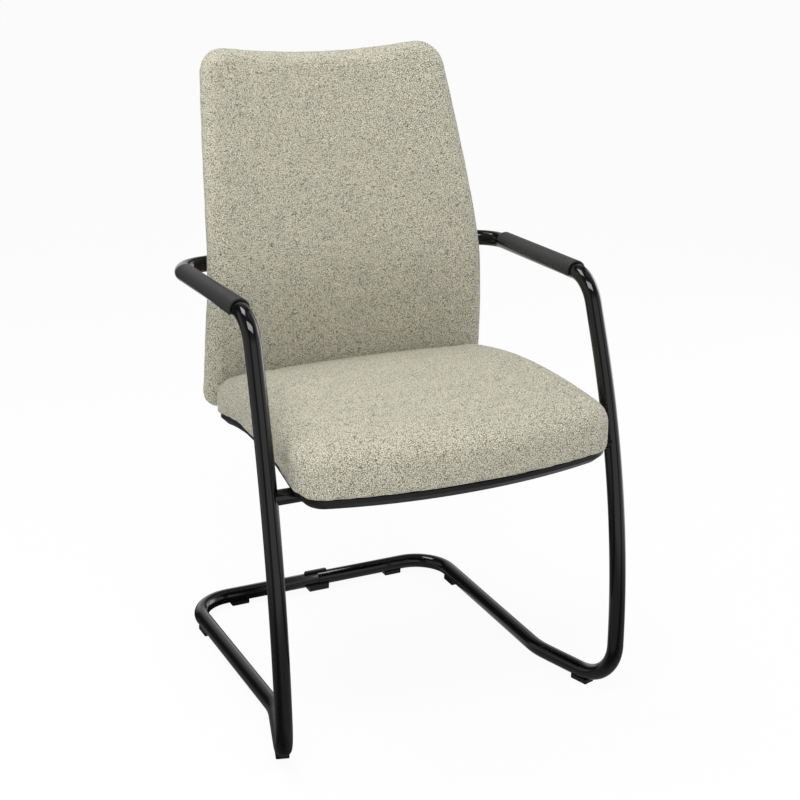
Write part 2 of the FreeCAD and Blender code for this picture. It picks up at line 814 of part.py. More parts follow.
def back_solid(inset, slab, front_round, rear_round):
    shape = slab.common(back_prism(inset)).Solids[0]
    if front_round:
        shape = shape.makeFillet(front_round, rim_edges(shape, True)).Solids[0]
    if rear_round:
        shape = shape.makeFillet(rear_round, rim_edges(shape, False)).Solids[0]
    return shape


def rear_face_y(x, z, inset=0.0):
    """Y of the back's rear face, or of a face parallel to it inside."""
    reference = size("back_bottom_half") - 8
    hollow = size("back_rear_hollow") * (1 - (x / reference) ** 2)
    return back_line(z) + size("back_rear_depth") - inset + hollow


def lean(x, low, high):
    """Turn about X, in degrees, that lays a plate along the rear face between two heights."""
    return math.degrees(math.atan2(rear_face_y(x, high) - rear_face_y(x, low), high - low))


back_outer = back_solid(0, back_slab(0, 0), size("back_front_round"), size("back_rear_round"))
back_cavity = back_solid(cloth, back_slab(cloth, cloth), size("back_front_round") - cloth,
                         size("back_rear_round") - cloth)
back_board_thickness = size("back_board_thickness")
board_rear_inset = cloth + soft_gap
back_board = back_solid(size("back_board_inset"),
                        back_slab(0, board_rear_inset, back_board_thickness), 0, 0)
foam_rear_inset = board_rear_inset + back_board_thickness + soft_gap
foam_inset = cloth + 2 * soft_gap
back_foam_blank = back_solid(foam_inset, back_slab(foam_inset, foam_rear_inset),
                             size("back_front_round") - foam_inset, 0)


# Angle strips from the seat board to the back board

def board_under_at(y):
    return seat_under(y) + seat_board_low


link_drop = cloth + 2 * soft_gap


def link_chord_y(z):
    """Y of the straight line along the back's rear face that the strips follow."""
    low, high = size("back_bottom") + 20, size("link_top")
    inner_x = size("link_half") - size("link_width") / 2
    share = (z - low) / (high - low)
    return rear_face_y(inner_x, low) * (1 - share) + rear_face_y(inner_x, high) * share


def link_face():
    """Side view of a strip: curved along the seat board, then bent up along the back."""
    half = size("link_thickness") / 2
    front, rear = size("link_front_y"), size("link_rear_y")
    low, high = size("back_bottom") + 20, size("link_top")

    def under_board(y, offset):
        slope = math.radians(seat_slope(y))
        normal = Vector(0, math.sin(slope), -math.cos(slope))
        return Vector(0, y, board_under_at(y)) + normal * (half + link_drop) + normal * offset

    def behind_back(z):
        return Vector(0, link_chord_y(z) + soft_gap, z)

    up = unit(behind_back(high) - behind_back(low))
    away = Vector(0, up.z, -up.y)
    along = math.radians(seat_slope(rear))
    down = Vector(0, math.cos(along), math.sin(along))

    def side(offset):
        start = under_board(rear, offset)
        back_point = behind_back(low) + away * (half + offset)
        cross = down.y * up.z - down.z * up.y
        gap = back_point - start
        reach = (gap.y * up.z - gap.z * up.y) / cross
        corner = start + down * reach
        top = behind_back(high) + away * (half + offset)
        curved = Part.Arc(under_board(front, offset), under_board((front + rear) / 2, offset), start)
        bent = bent_wire([start, corner, top], [size("link_bend") + offset])
        return [curved.toShape()] + bent.Edges, under_board(front, offset), top

    inner, inner_front, inner_top = side(-half)
    outer, outer_front, outer_top = side(half)
    ends = [Part.LineSegment(inner_front, outer_front).toShape(),
            Part.LineSegment(inner_top, outer_top).toShape()]
    return Part.Face(Part.Wire(Part.sortEdges(inner + outer + ends)[0])), away


link_section, link_away = link_face()
link_lean = math.degrees(math.atan2(-link_away.z, link_away.y))
link_bolts = []
link_nuts = []
back_board_cutters = []
back_fabric_cutters = []
seat_link_length = ("sizes.link_thickness + sizes.fabric_thickness + sizes.soft_clearance"
                    " + sizes.seat_board_thickness")
back_link_length = ("sizes.link_thickness + sizes.fabric_thickness + sizes.soft_clearance"
                    " + sizes.back_board_thickness")
for side_name, side in (("left", -1), ("right", 1)):
    node = "seat_back_link_" + side_name
    middle_x = side * size("link_half")
    profile = solid_feature(node + "_profile", link_section)
    profile.Placement = Placement(Vector(middle_x, 0, 0), Rotation())
    strip = doc.addObject("Part::Extrusion", node + "_strip")
    strip.Base = profile
    strip.DirMode = "Custom"
    strip.Dir = Vector(1, 0, 0)
    strip.setExpression("LengthFwd", "sizes.link_width / 2")
    strip.setExpression("LengthRev", "sizes.link_width / 2")
    strip.Solid = True
    cutters = []
    for number, y in enumerate((size("link_seat_hole_front"), size("link_seat_hole_rear"))):
        name = "link_seat_%s_%d" % (side_name, number)
        frame = Placement(Vector(middle_x, y, board_under_at(y)),
                          Rotation(Vector(1, 0, 0), seat_slope(y)))
        below = frame * Placement(Vector(0, 0, -size("link_thickness") - link_drop), Rotation())
        link_bolts.append(bolt(name + "_bolt", below, "sizes.bolt_diameter", seat_link_length,
                               "sizes.bolt_head_diameter", "sizes.bolt_head_height"))
        cutters.append(drill(name + "_clear", below, "sizes.bolt_diameter / 2 + sizes.bolt_clearance",
                             size("link_thickness") + 4, 2.0))
        seat_nuts.append(tee_nut(name + "_nut", frame, "sizes.seat_board_thickness"))
        seat_board_cutters += nut_cutters(name, frame, "sizes.seat_board_thickness")
    for number, z in enumerate((size("link_back_hole_low"), size("link_back_hole_high"))):
        name = "link_back_%s_%d" % (side_name, number)
        frame = Placement(Vector(middle_x, link_chord_y(z), z),
                          Rotation(Vector(1, 0, 0), 90 - link_lean))
        behind = frame * Placement(Vector(0, 0, -size("link_thickness") - soft_gap), Rotation())
        link_bolts.append(bolt(name + "_bolt", behind, "sizes.bolt_diameter", back_link_length,
                               "sizes.bolt_head_diameter", "sizes.bolt_head_height"))
        cutters.append(drill(name + "_clear", behind, "sizes.bolt_diameter / 2 + sizes.bolt_clearance",
                             size("link_thickness") + 4, 2.0))
        nut_spot = frame * Placement(Vector(0, 0, board_rear_inset), Rotation())
        link_nuts.append(tee_nut(name + "_nut", nut_spot, "sizes.back_board_thickness"))
        back_board_cutters += nut_cutters(name, nut_spot, "sizes.back_board_thickness")
        back_fabric_cutters.append(drill(name + "_cloth", frame,
                                         "sizes.nut_diameter / 2 + sizes.bolt_clearance", 10.0, 6.0))
    keep(boolean_cut(node, strip, cutters), node)


# Plates behind the back, seated on the arm loop

plate_low = size("arm_height") - size("back_plate_height") / 2
plate_high = size("arm_height") + size("back_plate_height") / 2
back_bolts = []
back_nuts = link_nuts
back_bolt_length = ("sizes.back_plate_thickness + sizes.fabric_thickness + sizes.soft_clearance"
                    " + sizes.back_board_thickness")
for side_name, side in (("left", -1), ("right", 1)):
    node = "back_plate_" + side_name
    x = size("back_plate_half")
    reference = size("back_bottom_half") - 8
    yaw = -side * math.degrees(math.atan(2 * size("back_rear_hollow") * x / reference ** 2))
    face_y = (rear_face_y(x, plate_low) + rear_face_y(x, plate_high)) / 2
    turn = Rotation(Vector(0, 0, 1), yaw) * Rotation(Vector(1, 0, 0), 90 - lean(x, plate_low, plate_high))
    frame = Placement(Vector(side * x, face_y, size("arm_height")), turn)
    corner = Vector(-size("back_plate_width") / 2, -size("back_plate_height") / 2,
                    -size("back_plate_thickness") - soft_gap)
    plate = bound("Part::Box", node + "_blank", frame * Placement(corner, Rotation()),
                  Length="sizes.back_plate_width", Width="sizes.back_plate_height",
                  Height="sizes.back_plate_thickness")
    cutters = [rods[side_name]]
    for number, sign in enumerate((-1, 1)):
        name = "back_plate_%s_%d" % (side_name, number)
        spot = frame * Placement(Vector(0, sign * size("back_plate_hole_spacing") / 2, 0), Rotation())
        behind = spot * Placement(Vector(0, 0, -size("back_plate_thickness") - soft_gap), Rotation())
        back_bolts.append(bolt(name + "_bolt", behind, "sizes.bolt_diameter", back_bolt_length,
                               "sizes.bolt_head_diameter", "sizes.bolt_head_height"))
        cutters.append(drill(name + "_clear", behind, "sizes.bolt_diameter / 2 + sizes.bolt_clearance",
                             size("back_plate_thickness") + 4, 2.0))
        nut_spot = spot * Placement(Vector(0, 0, board_rear_inset), Rotation())
        back_nuts.append(tee_nut(name + "_nut", nut_spot, "sizes.back_board_thickness"))
        back_board_cutters += nut_cutters(name, nut_spot, "sizes.back_board_thickness")
        back_fabric_cutters.append(drill(name + "_cloth", spot,
                                         "sizes.nut_diameter / 2 + sizes.bolt_clearance", 10.0, 6.0))
    keep(boolean_cut(node, plate, cutters), node)

keep(group("seat_bolts", seat_bolts), "seat_bolts")
keep(group("link_bolts", link_bolts), "link_bolts")
keep(group("back_bolts", back_bolts), "back_bolts")
keep(group("seat_tee_nuts", seat_nuts), "seat_tee_nuts")
keep(group("back_tee_nuts", back_nuts), "back_tee_nuts")


# Pan under the seat: a rim below the cover and a drawn-in dish, hollow, with screw bosses

def pan_form(inset, floor, top):
    """Shape of the pan's outside or inside, with its lower edge bevelled."""
    shape = seat_solid(inset, lambda y: seat_under(y) - floor, lambda y: seat_under(y) + top, 0, 0, 0)
    bevel = size("pan_depth") - size("pan_rim")

    def on_floor(edge):
        points = [edge.valueAt(edge.FirstParameter + (edge.LastParameter - edge.FirstParameter) * t)
                  for t in (0.0, 0.5, 1.0)]
        return all(abs(p.z - seat_under(p.y) + floor) < 0.6 for p in points)

    return shape.makeChamfer(bevel, [e for e in shape.Edges if on_floor(e)]).Solids[0]


pan_outer = pan_form(size("pan_inset"), size("pan_depth"), -soft_gap)
pan_inner = pan_form(size("pan_inset") + size("pan_wall"), size("pan_depth") - size("pan_wall"), 6)
pan_shell = pan_outer.cut(pan_inner)
pan_frames = []
for x in (-size("pan_screw_half"), size("pan_screw_half")):
    for y in (size("pan_screw_front_y"), size("pan_screw_middle_y"), size("pan_screw_rear_y")):
        shift = size("pan_boss_diameter") if y != size("pan_screw_middle_y") else 0
        pan_frames.append(Placement(Vector(x - math.copysign(shift, x), y, seat_under(y)),
                                    Rotation(Vector(1, 0, 0), seat_slope(y))))
boss_layer = seat_slab(lambda y: seat_under(y) - size("pan_depth") + 1,
                       lambda y: seat_under(y) + seat_board_low, 0)
bosses = []
pan_screws = []
pan_cutters = []
for number, frame in enumerate(pan_frames):
    low = frame * Placement(Vector(0, 0, -size("pan_depth")), Rotation())
    post = Part.makeCylinder(size("pan_boss_diameter") / 2, size("pan_depth") + 10)
    post.Placement = low
    bosses.append(post.common(boss_layer))
    pan_screws.append(bolt("pan_screw_%d" % number, low, "sizes.screw_diameter",
                           "sizes.pan_screw_length", "sizes.screw_head_diameter",
                           "sizes.screw_head_height"))
    pan_cutters.append(drill("pan_screw_clear_%d" % number, low,
                             "sizes.screw_diameter / 2 + sizes.sleeve_clearance",
                             size("pan_screw_length") + 5, 4.0))
seat_board_cutters += pan_cutters
pan_blank = solid_feature("seat_pan_blank", pan_shell.fuse(bosses))
groove = crossbar_rod("pan_groove_round", "sizes.crossbar_diameter / 2 + sizes.bolt_clearance")
groove_half = size("crossbar_diameter") / 2 + size("bolt_clearance")
groove_slot = doc.addObject("Part::Box", "pan_groove_slot")
groove_slot.Length = 2 * crossbar_end.x
groove_slot.Width = 2 * groove_half
groove_slot.Height = size("pan_depth") + size("crossbar_diameter")
groove_slot.Placement = Placement(
    Vector(-crossbar_end.x, crossbar_y - groove_half,
           size("crossbar_height") - groove_slot.Height.Value), Rotation())
link_slots = []
for side_name, side in (("left", -1), ("right", 1)):
    slot = doc.addObject("Part::Box", "pan_link_slot_" + side_name)
    slot.Length = size("link_width") + 1
    slot.Width = 60
    slot.Height = size("link_thickness") + 2
    rear = size("link_rear_y")
    slot.Placement = Placement(
        Vector(side * size("link_half"), rear, board_under_at(rear) - link_drop),
        Rotation(Vector(1, 0, 0), seat_slope(rear))) * Placement(
            Vector(-slot.Length.Value / 2, -12, 1 - slot.Height.Value), Rotation())
    link_slots.append(slot)
keep(boolean_cut("seat_pan", pan_blank, [groove, groove_slot] + link_slots + pan_cutters), "seat_pan")
keep(group("pan_screws", pan_screws), "pan_screws")


# Seat and back upholstery

seat_board_shape = seat_solid(size("seat_board_inset"), lambda y: seat_under(y) + seat_board_low,
                              lambda y: seat_under(y) + seat_board_high, 0, 0, 0)
seat_foam_shape = seat_solid(foam_inset, lambda y: seat_under(y) + seat_board_high + 2 * soft_gap,
                             lambda y: seat_top(y) - foam_inset, size("seat_crown"),
                             size("seat_top_round") - foam_inset, 0)
seat_blank = solid_feature("seat_board_blank", seat_board_shape)
keep(boolean_cut("seat_board", seat_blank, seat_board_cutters), "seat_board")
keep(solid_feature("seat_foam", seat_foam_shape), "seat_foam")
seat_fabric_shape = seat_outer.cut(seat_cavity).cut(seat_opening)
keep(solid_feature("seat_fabric", seat_fabric_shape), "seat_fabric")

back_blank = solid_feature("back_board_blank", back_board)
keep(boolean_cut("back_board", back_blank, back_board_cutters), "back_board")
keep(solid_feature("back_foam", back_foam_blank), "back_foam")
back_cloth = solid_feature("back_fabric_blank", back_outer.cut(back_cavity))
keep(boolean_cut("back_fabric", back_cloth, back_fabric_cutters), "back_fabric")


# Arm pads: half sleeves over the arm tubes, their skirts longer towards the front

def below_skirt(name, side, first, heading):
    """Cutter under the sloping line from the front skirt to the rear skirt."""
    front = first - Vector(0, 0, size("pad_front_skirt"))
    rear = first + heading * pad_length - Vector(0, 0, size("pad_rear_skirt"))
    along = unit(rear - front)
    across = Vector(-heading.y, heading.x, 0)
    up = along.cross(across)
    reach = 2 * pad_radius
    item = doc.addObject("Part::Box", name)
    item.Length = pad_length + 2 * reach
    item.Width = 2 * reach
    item.Height = reach
    item.Placement = Placement(front - along * reach - across * reach - up * reach,
                               Rotation(along, across, up, "XYZ"))
    return item


for side_name, side in (("left", -1), ("right", 1)):
    node = "arm_pad_" + side_name
    first, heading = on_side(pad_start, side), on_side(pad_direction, side)
    sleeve_place = Placement(first, Rotation(Vector(0, 0, 1), heading))
    half_sleeve = bound("Part::Cylinder", node + "_round", sleeve_place,
                        Radius="sizes.tube_diameter / 2 + sizes.pad_wall")
    half_sleeve.Height = pad_length
    sleeve_cut = boolean_cut(node + "_sleeve", half_sleeve,
                             [rods[side_name], below_skirt(node + "_below", side, first, heading)])
    pegs = []
    for number, spot in enumerate(pad_peg_spots[side_name]):
        rise = tube_radius - size("peg_length")
        pegs.append(bound("Part::Cylinder", "%s_peg_%d" % (node, number),
                          Placement(spot + Vector(0, 0, rise), Rotation()),
                          Radius="sizes.peg_diameter / 2", Height="sizes.peg_length + sizes.pad_wall / 2"))
    keep(fuse(node, [sleeve_cut] + pegs), node)


# Checks, then one file for each sub-part

doc.recompute()
faults = []
for item in doc.Objects:
    if "Invalid" in item.State or "Error" in item.State:
        faults.append("%s: %s" % (item.Name, item.State))
for item in subparts:
    if item.Shape.isNull() or not item.Shape.isValid() or not item.Shape.Solids:
        faults.append("%s: bad shape" % item.Label)
if faults:
    raise RuntimeError("; ".join(faults))

total = 0
for item in subparts:
    item.Shape.exportStep("parts/%s.step" % item.Label)
    box = item.Shape.BoundBox
    facets = len(item.Shape.tessellate(0.5)[1])
    total += facets
    print("%-26s solids %2d  volume %10.0f  facets %5d  x %.1f %.1f  y %.1f %.1f  z %.1f %.1f" % (
        item.Label, len(item.Shape.Solids), item.Shape.Volume, facets,
        box.XMin, box.XMax, box.YMin, box.YMax, box.ZMin, box.ZMax))
print("nodes", len(subparts), "facets", total)
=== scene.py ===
"""Looks of the sled base visitor chair: a gloss black bent tube, a patterned seat and back, black fittings.

Lengths are in metres, +Z is up and the sitter faces -Y. The hard parts keep the frame's own solids, and
the tube, the arm pads and the upholstery are finer surfaces in the places of their solids.
"""
import math

import bmesh
import bpy
import numpy as np
from bpy.props import FloatProperty, FloatVectorProperty, PointerProperty
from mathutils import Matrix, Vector


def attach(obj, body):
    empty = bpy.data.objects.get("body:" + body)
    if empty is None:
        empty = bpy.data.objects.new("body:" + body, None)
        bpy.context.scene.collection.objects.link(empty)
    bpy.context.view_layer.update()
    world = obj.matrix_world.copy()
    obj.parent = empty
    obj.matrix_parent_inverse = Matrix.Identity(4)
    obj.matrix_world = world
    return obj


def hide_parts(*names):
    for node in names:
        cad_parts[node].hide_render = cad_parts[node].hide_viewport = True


bl_info = {
    "name": "Sled base visitor chair",
    "version": (1, 0, 0),
    "blender": (4, 5, 0),
    "location": "View3D > Sidebar > Chair",
    "description": "Builds the finished surfaces and materials of a sled base visitor chair",
    "category": "Object",
}

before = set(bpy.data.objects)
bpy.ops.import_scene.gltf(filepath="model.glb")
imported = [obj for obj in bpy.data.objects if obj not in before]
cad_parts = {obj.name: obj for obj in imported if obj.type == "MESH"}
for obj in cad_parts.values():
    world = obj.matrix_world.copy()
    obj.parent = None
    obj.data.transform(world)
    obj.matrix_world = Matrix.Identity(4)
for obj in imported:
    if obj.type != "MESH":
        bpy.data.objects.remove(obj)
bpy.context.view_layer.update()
BODY = "root"


# Sizes and colours

class ChairSizes(bpy.types.PropertyGroup):
    """Sizes that a user would change"""

    tube_diameter: FloatProperty(
        name="Tube diameter", description="Outside of the frame tube",
        default=0.025, min=0.015, max=0.04, unit="LENGTH")
    tube_wall: FloatProperty(
        name="Tube wall", description="Wall of the frame tube",
        default=0.002, min=0.001, max=0.004, unit="LENGTH")
    pad_wall: FloatProperty(
        name="Pad wall", description="Thickness of the arm pads over the tube",
        default=0.0036, min=0.002, max=0.008, unit="LENGTH")
    seat_round: FloatProperty(
        name="Seat edge", description="Round of the seat's upper edge",
        default=0.028, min=0.01, max=0.03, unit="LENGTH")
    back_front_round: FloatProperty(
        name="Back front edge", description="Round of the back's front rim",
        default=0.020, min=0.008, max=0.024, unit="LENGTH")
    back_rear_round: FloatProperty(
        name="Back rear edge", description="Round of the back's rear rim",
        default=0.012, min=0.004, max=0.014, unit="LENGTH")
    pattern_cell: FloatProperty(
        name="Pattern cell", description="Width of one raised cell of the cloth",
        default=0.0026, min=0.002, max=0.02, unit="LENGTH")
    thread: FloatProperty(
        name="Thread", description="Width of one thread of the cloth's ground weave",
        default=0.0009, min=0.0004, max=0.003, unit="LENGTH")


def colour_property(name, description, value):
    """A colour that a user would change."""
    return FloatVectorProperty(name=name, description=description, default=value,
                               subtype="COLOR", size=3, min=0.0, max=1.0)


class ChairColours(bpy.types.PropertyGroup):
    """Colours of the materials"""

    cloth_cell: colour_property("Cloth cells", "Raised cells of the cloth", (0.740, 0.711, 0.572))
    cloth_gap: colour_property("Cloth gaps", "Sunk lines between the cells", (0.085, 0.080, 0.058))
    coating: colour_property("Coating", "Gloss paint of the frame", (0.0028, 0.0028, 0.0030))
    pad: colour_property("Arm pads", "Soft moulding of the arm pads", (0.020, 0.020, 0.021))
    moulding: colour_property("Mouldings", "Pan and glides", (0.0055, 0.0055, 0.006))
    zinc: colour_property("Fasteners", "Zinc plated steel", (0.52, 0.53, 0.55))
    board: colour_property("Boards", "Beech plywood", (0.56, 0.40, 0.23))
    foam: colour_property("Foam", "Moulded foam", (0.80, 0.76, 0.62))
    floor: colour_property("Floor", "Pale floor", (0.86, 0.86, 0.86))


# Shader maths

class Value:
    """An output socket of a node. Arithmetic on it adds Math nodes."""

    def __init__(self, shader, socket):
        self.shader = shader
        self.socket = socket

    def other(self, name):
        """Another output of the same node."""
        return Value(self.shader, self.socket.node.outputs[name])

    def maths(self, operation, *others):
        """The operation with this value first."""
        inputs = {index: value for index, value in enumerate((self,) + others)}
        return self.shader.node("ShaderNodeMath", {"operation": operation}, inputs)

    def reflected(self, operation, other):
        """The operation with this value second."""
        return self.shader.node("ShaderNodeMath", {"operation": operation}, {0: other, 1: self})

    def __add__(self, other):
        return self.maths("ADD", other)

    __radd__ = __add__

    def __mul__(self, other):
        return self.maths("MULTIPLY", other)

    __rmul__ = __mul__

    def __sub__(self, other):
        return self.maths("SUBTRACT", other)

    def __rsub__(self, other):
        return self.reflected("SUBTRACT", other)

    def __truediv__(self, other):
        return self.maths("DIVIDE", other)

    def __rtruediv__(self, other):
        return self.reflected("DIVIDE", other)

    def sine(self):
        return self.maths("SINE")

    def ramp(self, low, high, from_value=0.0, to_value=1.0):
        """Smooth step: from_value where this value is at most low, to_value where it is at least high."""
        return self.shader.node(
            "ShaderNodeMapRange", {"interpolation_type": "SMOOTHSTEP"},
            {"Value": self, "From Min": low, "From Max": high, "To Min": from_value, "To Max": to_value})


class Shader:
    """The nodes of a new material, given its name, or of a world; node() adds every one of them."""

    def __init__(self, target):
        if isinstance(target, str):
            target = bpy.data.materials.new(target)
        target.use_nodes = True
        self.material = target
        self.tree = target.node_tree
        self.tree.nodes.clear()

    def node(self, kind, settings=None, inputs=None, output=0):
        """Adds a node, applies its settings, then fills its sockets; gives one of its outputs."""
        made = self.tree.nodes.new(kind)
        for key, value in (settings or {}).items():
            if key == "stops":
                fill_ramp(made.color_ramp, value)
            else:
                setattr(made, key, value)
        for key, value in (inputs or {}).items():
            if isinstance(value, Value):
                self.tree.links.new(value.socket, made.inputs[key])
            else:
                made.inputs[key].default_value = value
        return Value(self, made.outputs[output] if made.outputs else None)

    def place(self):
        """Position on the piece, in metres."""
        return self.node("ShaderNodeTexCoord", output="Object")

    def noise(self, scale, detail=2.0, vector=None, roughness=0.5, output=0):
        """Cloudy value round a half; scale counts its waves in a metre."""
        inputs = {"Scale": scale, "Detail": detail, "Roughness": roughness,
                  "Vector": vector or self.place()}
        return self.node("ShaderNodeTexNoise", None, inputs, output)

    def cells(self, feature, vector, scale, output):
        """Irregular cells: how far a point is from their edges, or a chance colour for each cell."""
        inputs = {"Vector": vector, "Scale": scale, "Randomness": 1.0}
        return self.node("ShaderNodeTexVoronoi", {"feature": feature}, inputs, output)

    def blend(self, factor, first, second):
        """Colour between two: sockets 6 and 7 of the Mix node, and its output 2."""
        return self.node("ShaderNodeMix", {"data_type": "RGBA"}, {0: factor, 6: first, 7: second}, 2)

    def bump(self, height, distance, strength):
        """Normal of a surface raised by height times distance."""
        return self.node("ShaderNodeBump", None,
                         {"Height": height, "Distance": distance, "Strength": strength})

    def finish(self, **sockets):
        """Closes the material with the surface's sockets, named with underscores for spaces."""
        inputs = {key.replace("_", " "): value for key, value in sockets.items()}
        surface = self.node("ShaderNodeBsdfPrincipled", None, inputs)
        self.node("ShaderNodeOutputMaterial", None, {"Surface": surface})
        return self.material


def fill_ramp(ramp, stops):
    """Grey stops of a colour ramp, as pairs of place and value."""
    while len(ramp.elements) < len(stops):
        ramp.elements.new(1.0)
    for element, (place, grey) in zip(ramp.elements, stops):
        element.position = place
        element.color = (grey, grey, grey, 1.0)


def opaque(colour, share=1.0):
    """A colour property as a socket's four numbers, made lighter or darker by a share."""
    return tuple(min(1.0, part * share) for part in colour) + (1.0,)


def coating_material(colours):
    """Gloss paint: a faint orange peel and a slightly uneven gloss."""
    shader = Shader("frame_coating")
    peel = shader.noise(900.0, 3.0)
    cloudy = shader.noise(9.0, 2.0)
    tone = shader.blend(cloudy, opaque(colours.coating, 0.85), opaque(colours.coating, 1.2))
    rough = cloudy.ramp(0.3, 0.7, 0.075, 0.11)
    return shader.finish(Base_Color=tone, Roughness=rough, Specular_IOR_Level=0.5,
                         Normal=shader.bump(peel, 0.00003, 0.3))


def moulded_material(name, colour, rough, grain, depth):
    """Fine grained moulding, whose roughness goes a little up and down with the grain."""
    shader = Shader(name)
    fine = shader.noise(grain, 2.0)
    cloudy = shader.noise(22.0, 3.0)
    tone = shader.blend(cloudy, opaque(colour, 0.82), opaque(colour, 1.2))
    return shader.finish(Base_Color=tone, Roughness=fine.ramp(0.3, 0.7, rough - 0.06, rough + 0.06),
                         Specular_IOR_Level=0.4, Normal=shader.bump(fine, depth, 0.6))


def zinc_material(colours):
    """Plated steel, with fine noise in its tone and its gloss."""
    shader = Shader("zinc_plate")
    brushed = shader.noise(420.0, 4.0)
    tone = shader.blend(brushed, opaque(colours.zinc, 0.8), opaque(colours.zinc, 1.1))
    return shader.finish(Base_Color=tone, Metallic=1.0, Roughness=brushed.ramp(0.3, 0.7, 0.28, 0.42),
                         Normal=shader.bump(brushed, 0.00003, 0.4))


def board_material(colours):
    """Plywood: long grain along X with darker pores."""
    shader = Shader("beech_board")
    stretch = shader.node("ShaderNodeMapping", None,
                          {"Vector": shader.place(), "Scale": (6.0, 60.0, 60.0)})
    grain = shader.noise(1.0, 6.0, stretch, 0.6)
    pores = shader.noise(14.0, 3.0, stretch).ramp(0.62, 0.70)
    tone = shader.blend(grain.ramp(0.35, 0.65), opaque(colours.board, 0.78), opaque(colours.board, 1.08))
    tone = shader.blend(pores, tone, opaque(colours.board, 0.5))
    return shader.finish(Base_Color=tone, Roughness=grain.ramp(0.3, 0.7, 0.5, 0.62),
                         Normal=shader.bump(grain, 0.0001, 0.4))


def foam_material(colours):
    """Foam with fine open pores."""
    shader = Shader("moulded_foam")
    pores = shader.noise(700.0, 3.0)
    tone = shader.blend(pores.ramp(0.4, 0.6), opaque(colours.foam, 0.8), opaque(colours.foam))
    return shader.finish(Base_Color=tone, Roughness=0.95, Normal=shader.bump(pores, 0.0004, 0.7))


# Noise moves the cloth's pattern by up to CLOTH_WANDER. A second set of cells, a little larger and aside
# from the first, bridges some of the first set's lines, up to SECOND_HEIGHT of a cell's height.
CLOTH_WANDER = 0.0022
SECOND_DENSITY = 0.93
SECOND_ASIDE = (0.37, 0.51, 0.23)
SECOND_HEIGHT = 0.85
CLOTH_RELIEF = 0.0008


def cloth_material(name, sizes, colours, across, along):
    """Crackle patterned cloth: raised irregular cells, sunk lines between them, a fine ground weave.

    across and along are the two axes of the panel, which the threads follow. A thread is half a wave.
    """
    shader = Shader(name)
    place = shader.place()
    wander = shader.noise(260.0, 2.0, place, output="Color")
    shift = shader.node("ShaderNodeVectorMath", {"operation": "MULTIPLY_ADD"},
                        {0: wander, 1: (CLOTH_WANDER,) * 3, 2: place})
    density = 1.0 / sizes.pattern_cell
    edge = shader.cells("DISTANCE_TO_EDGE", shift, density, "Distance")
    lot = shader.cells("F1", shift, density, "Color")
    lot = shader.node("ShaderNodeSeparateColor", None, {"Color": lot})
    aside = shader.node("ShaderNodeVectorMath", {"operation": "ADD"}, {0: shift, 1: SECOND_ASIDE})
    second = shader.cells("DISTANCE_TO_EDGE", aside, density * SECOND_DENSITY, "Distance")
    cell = edge.ramp(0.01, 0.20).maths("MAXIMUM", second.ramp(0.03, 0.30) * SECOND_HEIGHT)
    axes = shader.node("ShaderNodeSeparateXYZ", None, {"Vector": place})
    turn = math.pi / sizes.thread
    warp = (axes.other(across) * turn).sine()
    weft = (axes.other(along) * turn).sine()
    weave = warp * weft * 0.5 + 0.5
    soft = shader.noise(26.0, 3.0, place)
    fleck = shader.noise(1500.0, 2.0, place)
    tone = shader.blend(lot.ramp(0.0, 1.0), opaque(colours.cloth_cell, 0.92),
                        opaque(colours.cloth_cell, 1.05))
    tone = shader.blend(cell, opaque(colours.cloth_gap), tone)
    tone = shader.blend(fleck.ramp(0.35, 0.65, 0.0, 0.22) + soft.ramp(0.3, 0.7, 0.0, 0.05),
                        tone, opaque(colours.cloth_gap, 1.5))
    height = cell * (0.75 + lot * 0.25) + weave * 0.10 + fleck * 0.10
    return shader.finish(Base_Color=tone, Roughness=cell.ramp(0.0, 1.0, 0.95, 0.82),
                         Specular_IOR_Level=0.25, Sheen_Weight=0.12, Sheen_Roughness=0.5,
                         Normal=shader.bump(height, CLOTH_RELIEF, 0.7))


# Meshes from grids of points

SAME_PLACE = 1e-6


def grid_faces(rows, columns, wrap_rows, wrap_columns):
    """Quads of a grid of points, as lists of four indices: a point, its right, below right, below."""
    down = np.arange(rows if wrap_rows else rows - 1)
    over = np.arange(columns if wrap_columns else columns - 1)
    first, second = np.meshgrid(down, over, indexing="ij")
    below = (first + 1) % rows
    right = (second + 1) % columns
    corners = (first * columns + second, first * columns + right,
               below * columns + right, below * columns + second)
    return np.stack(corners, axis=-1).reshape(-1, 4).tolist()


def shade_smooth(mesh):
    mesh.polygons.foreach_set("use_smooth", np.full(len(mesh.polygons), True))


def solid_object(name, points, faces, material):
    """Object from points and faces, doubles merged and faces turned outwards."""
    mesh = bpy.data.meshes.new(name)
    mesh.from_pydata(points.reshape(-1, 3).tolist(), [], faces)
    item = bpy.data.objects.new(name, mesh)
    bpy.context.scene.collection.objects.link(item)
    tidy_mesh(item)
    mesh.materials.append(material)
    shade_smooth(mesh)
    return item


def tidy_mesh(item):
    """Merges doubles and turns the faces outwards."""
    work = bmesh.new()
    work.from_mesh(item.data)
    bmesh.ops.remove_doubles(work, verts=work.verts, dist=SAME_PLACE)
    bmesh.ops.recalc_face_normals(work, faces=work.faces)
    work.to_mesh(item.data)
    work.free()


def closed_rings(name, rings, material):
    """Closed surface through rings of points, the first and last closed on their middles.

    rings has the shape (rings, points, 3).
    """
    count, around = rings.shape[:2]
    faces = grid_faces(count, around, False, True)
    points = np.concatenate([rings.reshape(-1, 3), rings[:1].mean(axis=1), rings[-1:].mean(axis=1)])
    first, last = count * around, count * around + 1
    step = np.arange(around)
    after = (step + 1) % around
    faces += np.stack([np.full(around, first), after, step], axis=1).tolist()
    base = (count - 1) * around
    faces += np.stack([np.full(around, last), base + step, base + after], axis=1).tolist()
    return solid_object(name, points, faces, material)


